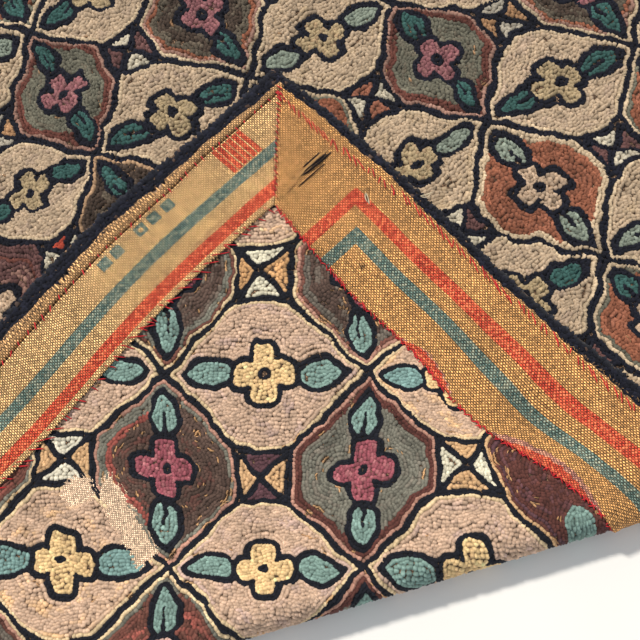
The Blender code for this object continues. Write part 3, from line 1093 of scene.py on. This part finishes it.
def binding_cuts(along_long):
    """Lines along and across a strip, so that every printed edge is also an edge of its mesh."""
    if not along_long:
        return SHORT_RED + SHORT_TEAL + (SHORT_STRIP[0] + 0.0025,), RED_TURN + TEAL_TURN
    edges_t = LONG_TEAL + LONG_RED + (LABEL_PATCH["low_t"], LABEL_PATCH["high_t"], 0.1170)
    edges_t += (MARK_LOW, MARK_LOW + HOLLOW_INSET, LONG_STRIP[0] + 0.0030)
    edges_t += (MARK_LOW + MARK_SIZE, MARK_LOW + MARK_SIZE - HOLLOW_INSET)
    edges_s = tuple(start + step for start in MARK_STARTS for step in (0.0, MARK_SIZE))
    edges_s += (HOLLOW_MARK + HOLLOW_INSET, HOLLOW_MARK + MARK_SIZE - HOLLOW_INSET)
    lines = int((LABEL_PATCH["high_s"] - LABEL_PATCH["low_s"]) / LABEL_STEP)
    for line in range(lines + 1):
        start = LABEL_PATCH["low_s"] + line * LABEL_STEP
        edges_s += (start, start - LABEL_LINE)
    return edges_s, edges_t


def cut_bleeds(mesh):
    """Small faces where dye has bled, so that its ragged edge shows."""
    low_s, high_s, step_s = BLEED_CUTS["s"]
    low_t, high_t, step_t = BLEED_CUTS["t"]

    def bled_faces():
        faces = []
        for face in mesh.faces:
            centre = face.calc_center_median()
            if low_s - step_s < centre.x < high_s + step_s and low_t < centre.y < high_t:
                faces.append(face)
        return faces

    cut_lines(mesh, np.arange(low_s, high_s, step_s), np.arange(low_t, high_t, step_t), bled_faces)


def cut_mitres(mesh, along_long, far):
    """Cut both ends of a strip along the slanting lines where it meets its neighbours."""
    for end_s, sign_s in ((0.0, 1.0), (RUG_LENGTH, -1.0)):
        for end_t, sign_t in ((0.0, 1.0), (RUG_WIDTH, -1.0)):
            beside = (end_t if along_long else end_s) > 0.0
            if beside != far:
                continue
            square = np.array((sign_s * LONG_BINDING_INNER, -sign_t * SHORT_BINDING_INNER))
            square = square * (-1.0 if along_long else 1.0)
            gap = 0.0004 * np.array((sign_s, 0.0) if along_long else (0.0, sign_t))
            cut_flat(mesh, (end_s + gap[0], end_t + gap[1]), square, clear_outer=True)


RAW_EDGE_RAGGED = 0.0011
STRIP_CELL = 0.0056
FAR_STRIP_CELL = 0.030


def binding_piece(node, along_long, far, materials):
    """One strip of printed burlap on the back, mitred at both ends."""
    cell = FAR_STRIP_CELL if far else STRIP_CELL
    outer, inner = LONG_STRIP if along_long else SHORT_STRIP
    if along_long:
        mesh = flat_grid(0.0, RUG_LENGTH, outer, inner, cell)
    else:
        mesh = flat_grid(outer, inner, 0.0, RUG_WIDTH, cell)
    if far:
        for vert in mesh.verts:
            if along_long:
                vert.co.y = RUG_WIDTH - vert.co.y
            else:
                vert.co.x = RUG_LENGTH - vert.co.x
    cut_mitres(mesh, along_long, far)
    if not far:
        cut_lines(mesh, *binding_cuts(along_long))
        cut_fold_lines(mesh)
        if not along_long:
            cut_bleeds(mesh)
    bmesh.ops.remove_doubles(mesh, verts=mesh.verts[:], dist=0.0003)
    if not far and not along_long:
        for vert in mesh.verts:
            if vert.co.x < outer + 0.0005:
                y = vert.co.y
                vert.co.x += RAW_EDGE_RAGGED * (math.sin(y * 61.0) + math.sin(y * 733.0 + 1.0))

    def bottom(s, t):
        if far:
            return np.full_like(s, STRIP_FACE - BINDING_THICKNESS)
        across, along = (t, s) if along_long else (s, t)
        swell = strip_swell(inner - across, across - outer, along)
        ripple = 0.00060 * soft_noise(s, t, 0.050, 9) + 0.00032 * soft_noise(s, t, 0.018, 10)
        return STRIP_FACE - BINDING_THICKNESS - (swell + ripple + 0.0004)

    print_at = None
    if not far:
        print_at = long_print if along_long else short_print
    drift = no_drift if far else (long_drift if along_long else short_drift)
    return two_sided(
        node + "_cloth", mesh, top=lambda s, t: np.full_like(s, STRIP_FACE), bottom=bottom,
        materials=materials, pick_material=print_at, drift=drift,
    )


def hem_piece(materials):
    """The foundation's own margin, turned on to the back and caught under the long strip."""
    mesh = flat_grid(*HEM_ENDS, HEM_OUTER, HEM_INNER, HEM_CELL)
    cut_lines(mesh, (), (SEAM[0] - SEAM_SLOPE, *SEAM))
    for vert in mesh.verts:
        if vert.co.y < HEM_OUTER + HEM_RAGGED:
            x = vert.co.x
            vert.co.y += 0.0014 * math.sin(x * 41.0) + 0.0009 * math.sin(x * 133.0)
            vert.co.y += 0.0006 * math.sin(x * 890.0)
    cut_fold_lines(mesh)

    def bottom(s, t):
        rise = np.clip((t - HEM_OUTER) / (SEAM[0] - HEM_OUTER), 0.0, 1.0)
        puff = 0.0026 + 0.0012 * np.sin(math.pi * rise) + 0.0004 * soft_noise(s, t, 0.014, 14)
        return HEM_LOW - puff * smooth_step((SEAM[0] - t) / SEAM_SLOPE)

    return two_sided(
        "hem", mesh,
        top=lambda s, t: np.full_like(s, HEM_TOP),
        bottom=bottom,
        materials=materials,
        # Painted shade: the seam faces take the dark seam material
        pick_material=lambda s, t: GROOVE if SEAM[0] < t < SEAM[1] else PLAIN,
        drift=long_drift,
    )


def worn_patch(material):
    """Bare foundation cloth where the stitches of the back have worn away."""
    mesh = flat_grid(*WORN_AREA, WORN_CELL)
    centres = np.array([face.calc_center_median()[:2] for face in mesh.faces])
    depth = worn_depth(centres[:, 0], centres[:, 1])
    spare = [face for face, value in zip(mesh.faces[:], depth) if value < -WORN_UNDERLAP]
    bmesh.ops.delete(mesh, geom=spare, context="FACES")
    places = np.array([vert.co[:2] for vert in mesh.verts])
    s, t = even_layout(places[:, 0], places[:, 1])
    for vert, even_s, even_t in zip(mesh.verts, s, t):
        vert.co.x = even_s
        vert.co.y = even_t
    return two_sided(
        "worn_ground", mesh,
        top=lambda s, t: np.full_like(s, -0.0034),
        bottom=lambda s, t: -0.0041 - 0.00015 * soft_noise(s, t, 0.012, 12),
        materials=[material],
    )


SEWING_RADIUS = 0.00062
THREAD_SIDES = 4
THREAD_RINGS = 6
# Tones of the strands; the black and the dark ones are painted shadow in slits and creases, the others are
# thread colours
STRAND_TONES = {
    "red": (206, 40, 48), "dark": (46, 30, 20), "black": (30, 20, 16), "tan": (190, 146, 92),
    "pale": (224, 206, 172),
}

# Stray strands in even sheet places, and dark strands of painted shadow along slits and creases: from s, t
# to s, t, sideways bow, radius, tone and how many
LOOSE_STRANDS_AND_SLIT_SHADOWS = table("from to bow radius tone count", (
    ((0.096, 0.114), (0.045, 0.117), 0.0012, 0.0012, "black", 2),
    ((0.080, 0.110), (0.055, 0.1105), 0.0008, 0.0010, "black", 1),
    ((0.100, 0.123), (0.060, 0.1235), 0.0010, 0.0008, "black", 1),
    ((0.112, 0.116), (0.034, 0.1135), 0.0020, 0.0004, "tan", 5),
    ((0.128, 0.121), (0.096, 0.118), 0.0015, 0.0004, "dark", 1),
    ((0.0515, 0.177), (0.059, 0.1905), 0.0010, 0.0006, "pale", 3),
    ((0.054, 0.179), (0.0585, 0.1885), 0.0006, 0.0006, "dark", 1),
    ((0.1055, 0.2305), (0.108, 0.2375), 0.0008, 0.0005, "black", 3),
    ((0.016, 0.223), (0.002, 0.230), 0.0030, 0.0005, "pale", 2),
))
STRAND_SPREAD = 0.0012
FRINGE_STEP = 0.0042


def whip_stitches(along, across, slant, long_side, half, low, high):
    """Even-layout places and lifts of threads that climb over an edge from low to high."""
    share = np.linspace(-1.0, 1.0, THREAD_RINGS)
    lean = slant * random.uniform(0.3, 1.5, len(along))
    reach = half * random.uniform(0.7, 1.3, len(along))
    over = across[:, None] + share[None, :] * reach[:, None]
    beside = along[:, None] + share[None, :] * lean[:, None]
    beside += 0.0006 * np.sin(share * 3.0)[None, :] * random.uniform(-1.0, 1.0, len(along))[:, None]
    rise = smooth_step(0.5 - 0.5 * share)[None, :]
    dip = np.abs(share[None, :]) ** 6 * 0.0009
    lift = high * rise + low * (1.0 - rise) + dip
    lift = np.broadcast_to(lift, over.shape)
    if long_side:
        return np.stack((beside, over, lift), axis=-1)
    return np.stack((over, beside, lift), axis=-1)


def jittered(start, end, step, spread):
    """Places one step apart, each moved a little at random."""
    places = np.arange(start, end, step)
    return places + random.normal(0.0, spread, len(places))


def sewing_lines():
    """Every hand stitch on the folded corner, as places on the sheet and lifts."""
    strip_top = STRIP_FACE - BINDING_THICKNESS - 0.0014
    run_top = strip_top - 0.0012
    back_top = STITCH_TOP - 0.0004
    lines = []

    def fold_reach(across, square, along):
        return (ROLL_START + 0.02 - across * square) / along

    along = jittered(0.140, fold_reach(LONG_STRIP[1], FOLD_T, FOLD_S), PUCKER_STEP, 0.0018)
    across = np.full(len(along), LONG_STRIP[1] + 0.0006)
    lines.append(whip_stitches(along, across, -0.0058, True, 0.0057, back_top, strip_top))
    some = random.uniform(size=len(along)) < 0.4
    beside = along[some] + 0.004
    lines.append(whip_stitches(beside, across[some], -0.002, True, 0.003, back_top, strip_top))

    for step, slant, half in ((0.0062, 0.0042, 0.0018), (0.0098, -0.0030, 0.0024)):
        along = jittered(0.126, fold_reach(SHORT_STRIP[1], FOLD_S, FOLD_T), step, 0.0018)
        across = np.full(len(along), SHORT_STRIP[1] + 0.0002)
        lines.append(whip_stitches(along, across, slant, False, half, back_top, strip_top))

    along = jittered(0.034, fold_reach(SEAM[1], FOLD_T, FOLD_S), 0.0120, 0.0014)
    across = np.full(len(along), 0.5 * sum(SEAM))
    lines.append(whip_stitches(along, across, 0.0018, True, 0.0030, strip_top + 0.0004, -0.0068))

    for start in (0.030, 0.0365):
        along = jittered(start, fold_reach(SHORT_STRIP[0], FOLD_S, FOLD_T), 0.0165, 0.0010)
        drift = 0.010 * np.exp(-((along - 0.10) / 0.09) ** 2)
        across = SHORT_STRIP[0] + 0.0050 + drift + random.normal(0.0, 0.0010, len(along))
        lines.append(whip_stitches(along, across, 0.0058, False, 0.0031, run_top, run_top))

    count = 20
    along = 0.024 + (np.arange(count) + 0.5) / count * (SHORT_BINDING_INNER - 0.026)
    across = along * LONG_BINDING_INNER / SHORT_BINDING_INNER
    lines.append(whip_stitches(along, across, 0.0008, True, 0.0034, run_top, run_top))
    lines = np.concatenate(lines)
    lines[..., 0], lines[..., 1] = short_drift(*long_drift(lines[..., 0], lines[..., 1]))
    return lines


def stray_and_slit_shadow_lines():
    """Loose and broken threads, and dark strands of painted shadow along slits and creases: places and
    lifts, then radius and tone of each.
    """
    share = np.linspace(0.0, 1.0, THREAD_RINGS)
    lift = STRIP_FACE - BINDING_THICKNESS - 0.0012 - 0.0006 * np.sin(math.pi * share)
    for row in LOOSE_STRANDS_AND_SLIT_SHADOWS:
        start = np.array(row["from"])
        run = np.array(row["to"]) - start
        side = np.array((-run[1], run[0])) / np.linalg.norm(run)
        for _ in range(row["count"]):
            bow = row["bow"] * random.uniform(-1.0, 1.0) * np.sin(math.pi * share)
            shift = random.normal(0.0, STRAND_SPREAD) * (row["count"] > 1)
            trim = random.uniform(0.0, 0.25, 2) * (row["count"] > 1)
            along = trim[0] + share * (1.0 - trim.sum())
            line = start + along[:, None] * run + (bow + shift)[:, None] * side
            yield np.column_stack((line, lift)), row["radius"], row["tone"]
    for along in jittered(0.03, 0.86, FRINGE_STEP, 0.0012):
        reach = random.uniform(0.001, 0.0034)
        lean = random.normal(0.0, 1.2) * reach
        line = np.column_stack((
            SHORT_STRIP[0] + 0.002 - share * reach,
            along + share * lean + 0.0005 * np.sin(share * 4.0),
            STRIP_FACE - 0.0006 + 0.0002 * share,
        ))
        yield line, 0.00020, "tan"


def strands_piece(name, lines, radii, tones, material):
    """Short round strands along lines that lie on the sheet."""
    middle = space_points(lines[..., 0], lines[..., 1], lines[..., 2])
    ahead = unit(np.gradient(middle, axis=1))
    up = pile_normals(lines[..., 0], lines[..., 1])
    side = unit(np.cross(up, ahead))
    up = np.cross(ahead, side)
    turns = np.arange(THREAD_SIDES) * 2.0 * math.pi / THREAD_SIDES
    thin = np.ones(THREAD_RINGS)
    thin[[0, -1]] = 0.5
    ring = (
        side[:, :, None, :] * np.cos(turns)[None, None, :, None]
        + up[:, :, None, :] * np.sin(turns)[None, None, :, None]
    ) * (radii[:, None] * thin)[:, :, None, None]
    points = middle[:, :, None, :] + ring
    faces = []
    for step in range(THREAD_RINGS - 1):
        for corner in range(THREAD_SIDES):
            beside = (corner + 1) % THREAD_SIDES
            low = step * THREAD_SIDES
            high = low + THREAD_SIDES
            faces.append((low + corner, low + beside, high + beside, high + corner))
    faces.append(tuple(range(THREAD_SIDES))[::-1])
    faces.append(tuple(range((THREAD_RINGS - 1) * THREAD_SIDES, THREAD_RINGS * THREAD_SIDES)))
    count = len(lines)
    tints = tones[:, None, :] * random.uniform(0.75, 1.15, (count, 1, 1))
    tints = np.broadcast_to(tints, (count, THREAD_RINGS * THREAD_SIDES, 3))
    circle = np.stack((np.cos(turns), np.sin(turns)), axis=1)
    spots = lines[:, :, None, :2] + circle[None, None] * radii[:, None, None, None]
    spots = np.clip(spots.reshape(count, -1, 2), 0.0, UV_SPAN)
    return joined_mesh(
        name, points.reshape(count, -1, 3), faces, count, np.clip(tints, 0.0, 1.0), spots, material,
    )


def thread_pieces(material):
    """The red hand sewing, the loose threads of the worn burlap, and dark strands of painted shadow along
    its slits and creases.
    """
    sewing = sewing_lines()
    red = np.tile(linear(STRAND_TONES["red"]), (len(sewing), 1))
    strays_and_slit_shadows, radii, tones = zip(*stray_and_slit_shadow_lines())
    return [
        strands_piece("hand_stitches", sewing, np.full(len(sewing), SEWING_RADIUS), red, material),
        strands_piece(
            "stray_threads_and_slit_shadows", np.array(strays_and_slit_shadows), np.array(radii),
            np.array([linear(STRAND_TONES[tone]) for tone in tones]), material,
        ),
    ]


class Nodes:
    """Short calls for the nodes of one material."""

    def __init__(self, name):
        self.material = bpy.data.materials.new(name)
        self.material.use_nodes = True
        self.tree = self.material.node_tree
        self.shader = self.tree.nodes["Principled BSDF"]

    def feed(self, node, inputs):
        """Link each input that is given a socket, and set the others."""
        for name, value in inputs.items():
            if isinstance(value, bpy.types.NodeSocket):
                self.tree.links.new(value, node.inputs[name])
            else:
                node.inputs[name].default_value = value

    def add(self, kind, inputs=None, **settings):
        """The outputs of a new node."""
        node = self.tree.nodes.new("ShaderNode" + kind)
        for name, value in settings.items():
            setattr(node, name, value)
        self.feed(node, inputs or {})
        return node.outputs

    def maths(self, operation, first, second=0.0, third=0.5):
        return self.add("Math", {0: first, 1: second, 2: third}, operation=operation)[0]

    def vector(self, operation, first, second):
        place = "Scale" if operation == "SCALE" else 1
        return self.add("VectorMath", {0: first, place: second}, operation=operation)[0]

    def noise(self, place, scale, detail):
        return self.add("TexNoise", {"Vector": place, "Scale": scale, "Detail": detail})

    def mix(self, share, first, second):
        return self.add("Mix", {0: share, 6: first, 7: second}, data_type="RGBA")[2]

    def finish(self, colour, height=None, bump=0.5, distance=0.0004, roughness=0.95, sheen=0.2):
        """The material, with its colour and the bump of a height."""
        inputs = {
            "Base Color": colour, "Roughness": roughness, "Specular IOR Level": 0.15,
            "Sheen Weight": sheen, "Sheen Roughness": 0.6,
        }
        if height is not None:
            relief = {"Height": height, "Strength": bump, "Distance": distance}
            inputs["Normal"] = self.add("Bump", relief)[0]
        self.feed(self.shader, inputs)
        return self.material


def solid(colour):
    """A colour of 0 to 255 steps as a socket value."""
    return (*[float(part) for part in linear(colour)], 1.0)


def wool_material(name, fibre_scale, contrast):
    """Matt wool in the colour that each loop carries, with painted shade at its base, mottled by its
    fibres.
    """
    nodes = Nodes(name)
    place = nodes.add("TexCoord")["Object"]
    colour = nodes.add("Attribute", attribute_name="yarn_colour_and_painted_shade")["Color"]
    fibres = nodes.noise(place, fibre_scale, 3.0)[0]
    light = nodes.maths("MULTIPLY_ADD", fibres, contrast, 1.0 - 0.5 * contrast)
    bright = nodes.vector("SCALE", colour, light)
    return nodes.finish(bright, height=fibres, sheen=0.08)


# The weave: how high threads stand on their way over and under, and the scale of slubs along both
THREAD_PITCH = 0.00195
WORN_PITCH = 0.00135
THREAD_HEIGHT = 0.78
OVER_RISE = 0.22
SLUB_SCALES = ((14.0, 900.0, 1.0), (900.0, 14.0, 1.0))
FADED_THREAD = (204, 152, 96)

# What a measure of the weave, from low to high, makes of colour or light, from first to last; the hole row
# paints shade into the low places between threads
WEAVE_RANGES = table("low high first last", {
    "hole": (0.52, 0.80, 0.0, 1.0),
    "slub": (0.3, 0.7, 0.70, 1.26),
    "stain": (0.3, 0.7, 0.78, 1.16),
    "over": (-OVER_RISE, OVER_RISE, 0.50, 1.53),
    "crossing": (0.0, 1.0, 0.55, 1.50),
})


def burlap_material(name, thread, gap, fade=0.0, pitch=THREAD_PITCH):
    """Plain-woven jute: round threads over and under, holes between them darkened with painted shade,
    uneven slubs.
    """
    nodes = Nodes(name)
    flat = nodes.add("UVMap", uv_map="OFBake")[0]
    wander = nodes.noise(flat, 60.0, 2.0)["Color"]
    warped = nodes.vector("ADD", flat, nodes.vector("SCALE", wander, 0.0016))
    counted = nodes.vector("SCALE", warped, UV_SPAN / pitch)
    parts = nodes.add("SeparateXYZ", {0: counted})
    wave_s = nodes.maths("SINE", nodes.maths("MULTIPLY", parts[0], math.pi))
    wave_t = nodes.maths("SINE", nodes.maths("MULTIPLY", parts[1], math.pi))
    over = nodes.maths("SIGN", nodes.maths("MULTIPLY", wave_s, wave_t))
    over = nodes.maths("MULTIPLY", over, OVER_RISE)
    threads = [
        nodes.maths("MULTIPLY", nodes.maths("ABSOLUTE", wave), nodes.maths(way, THREAD_HEIGHT, over))
        for wave, way in ((wave_s, "ADD"), (wave_t, "SUBTRACT"))
    ]
    height = nodes.maths("MAXIMUM", *threads)
    crossing = nodes.add("VectorMath", {0: counted}, operation="FLOOR")[0]
    chance = nodes.add("TexWhiteNoise", {"Vector": crossing}, noise_dimensions="2D")[0]

    def ranged(value, low, high, first, last):
        return nodes.add("MapRange", {"Value": value, 1: low, 2: high, 3: first, 4: last})[0]

    shares = [
        nodes.noise(nodes.vector("MULTIPLY", flat, scale), 1.0, 1.0)[0] for scale in SLUB_SCALES
    ]
    slubs = nodes.maths("MULTIPLY", nodes.maths("ADD", *shares), 0.5)
    # Painted shade: the low places between threads take the dark gap colour
    cloth = nodes.mix(ranged(height, **WEAVE_RANGES["hole"]), solid(gap), solid(thread))
    stains = nodes.noise(flat, 34.0, 4.0)[0]
    light = nodes.maths(
        "MULTIPLY", ranged(slubs, **WEAVE_RANGES["slub"]), ranged(stains, **WEAVE_RANGES["stain"]),
    )
    light = nodes.maths("MULTIPLY", light, ranged(over, **WEAVE_RANGES["over"]))
    light = nodes.maths("MULTIPLY", light, ranged(chance, **WEAVE_RANGES["crossing"]))
    if fade:
        cloth = nodes.mix(ranged(chance, 0.30, 1.0, 0.0, fade), cloth, solid(FADED_THREAD))
    bright = nodes.vector("SCALE", cloth, light)
    return nodes.finish(bright, height=height, bump=0.9, distance=0.0007, sheen=0.1)


def floor_material():
    """A plain pale floor, very slightly mottled."""
    nodes = Nodes("studio_floor")
    cloud = nodes.noise(nodes.add("TexCoord")["Object"], 3.0, 3.0)[0]
    colour = nodes.mix(cloud, solid((226, 222, 214)), solid((236, 233, 227)))
    return nodes.finish(colour, roughness=0.85, sheen=0.0)


# The camera was fitted to the places of the pattern's crossings in the photo
CAMERA_PLACE = (0.5438, -0.2631, 1.215)
CAMERA_TOWARDS = (-0.0705, 0.3179, -0.9455)


def studio():
    """Floor, lights and the camera at the photo's angle."""
    mesh = bmesh.new()
    bmesh.ops.create_grid(mesh, x_segments=1, y_segments=1, size=6.0)
    data = bpy.data.meshes.new("floor")
    mesh.to_mesh(data)
    mesh.free()
    data.materials.append(floor_material())
    floor = linked("floor", data)
    floor.location.z = -0.0005

    def aimed(name, data, towards):
        holder = linked(name, data)
        holder.rotation_mode = "QUATERNION"
        holder.rotation_quaternion = Vector(towards).to_track_quat("-Z", "Y")
        return holder

    for name, towards, energy, colour, width in (
        ("key", (0.60, -0.40, -0.75), 3.4, (1.0, 0.96, 0.90), 6.0),
        ("fill", (-0.5, 0.7, -1.0), 0.5, (0.88, 0.93, 1.0), 60.0),
    ):
        light = bpy.data.lights.new(name, "SUN")
        light.energy = energy
        light.color = colour
        light.angle = math.radians(width)
        aimed(name, light, towards)
    world = bpy.data.worlds.new("studio")
    world.use_nodes = True
    sky = world.node_tree.nodes["Background"].inputs
    sky["Color"].default_value = (0.80, 0.86, 0.95, 1.0)
    sky["Strength"].default_value = 0.55
    bpy.context.scene.world = world
    bpy.context.scene.view_settings.view_transform = "Standard"

    camera = bpy.data.cameras.new("photo_view")
    camera.lens = 69.6
    camera.sensor_width = 36.0
    camera.clip_start = 0.05
    holder = aimed("photo_view", camera, CAMERA_TOWARDS)
    holder.location = CAMERA_PLACE
    bpy.context.scene.camera = holder


# A strip's share of its rectangle once both ends are mitred, and what its length lacks of the side
STRIP_SHORTER = 0.04


def dress_rug():
    """Make every piece, attach it to the body it rides on, and hide the model's parts that the pieces
    stand in for.
    """
    pile_wool = wool_material("hooked_pile", 900.0, 0.5)
    stitch_wool = wool_material("flat_wool_stitches", 900.0, 0.4)
    red_thread = wool_material("sewing_thread", 2500.0, 0.3)
    # Painted shade: the foundation burlap is darkened so that it reads as shade where it shows between the
    # loops; the second colour of every burlap is the painted shade of its holes
    ground = burlap_material("foundation_burlap_and_painted_shade", (124, 96, 72), (70, 54, 42))
    worn = burlap_material("worn_foundation", (255, 222, 184), (176, 136, 108), pitch=WORN_PITCH)
    prints = [
        burlap_material("binding_red_print", (236, 84, 56), (104, 28, 16), fade=0.26),
        burlap_material("binding_teal_print", (116, 142, 128), (34, 42, 40), fade=0.18),
        burlap_material("binding_bled_dye", (206, 138, 120), (78, 46, 42), fade=0.3),
    ]
    plain = burlap_material("binding_burlap", (244, 194, 130), (52, 30, 16))
    darker = burlap_material("binding_burlap_worn", (236, 172, 102), (46, 24, 12))
    # Painted shade: a dark burlap for the crevice of the seam between hem and strip
    groove = burlap_material("seam_shade", (60, 36, 20), (26, 16, 10))
    wool = wool_pieces(pile_wool, stitch_wool)
    rim = rim_piece(pile_wool)
    foundation = foundation_piece(ground)
    turned = burlap_material("hem_burlap", (206, 158, 104), (84, 58, 38))
    hem = hem_piece([turned, *prints, groove])
    patch = worn_patch(worn)
    threads = thread_pieces(red_thread)
    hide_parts("rug_body")
    for piece in wool + [rim, foundation, patch]:
        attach(piece, "root")
    for piece in [hem, *threads]:
        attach(piece, "root")
    long_flat = (LONG_STRIP[1] - LONG_STRIP[0], RUG_LENGTH - STRIP_SHORTER)
    short_flat = (SHORT_STRIP[1] - SHORT_STRIP[0], RUG_WIDTH - STRIP_SHORTER)
    for node, along_long, far, flat in (
        ("binding_long_near", True, False, long_flat),
        ("binding_short_near", False, False, short_flat),
        ("binding_long_far", True, True, long_flat),
        ("binding_short_far", False, True, short_flat),
    ):
        strip = binding_piece(node, along_long, far, [plain if along_long else darker, *prints])
        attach(strip, "root")
        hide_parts(node)


dress_rug()
studio()
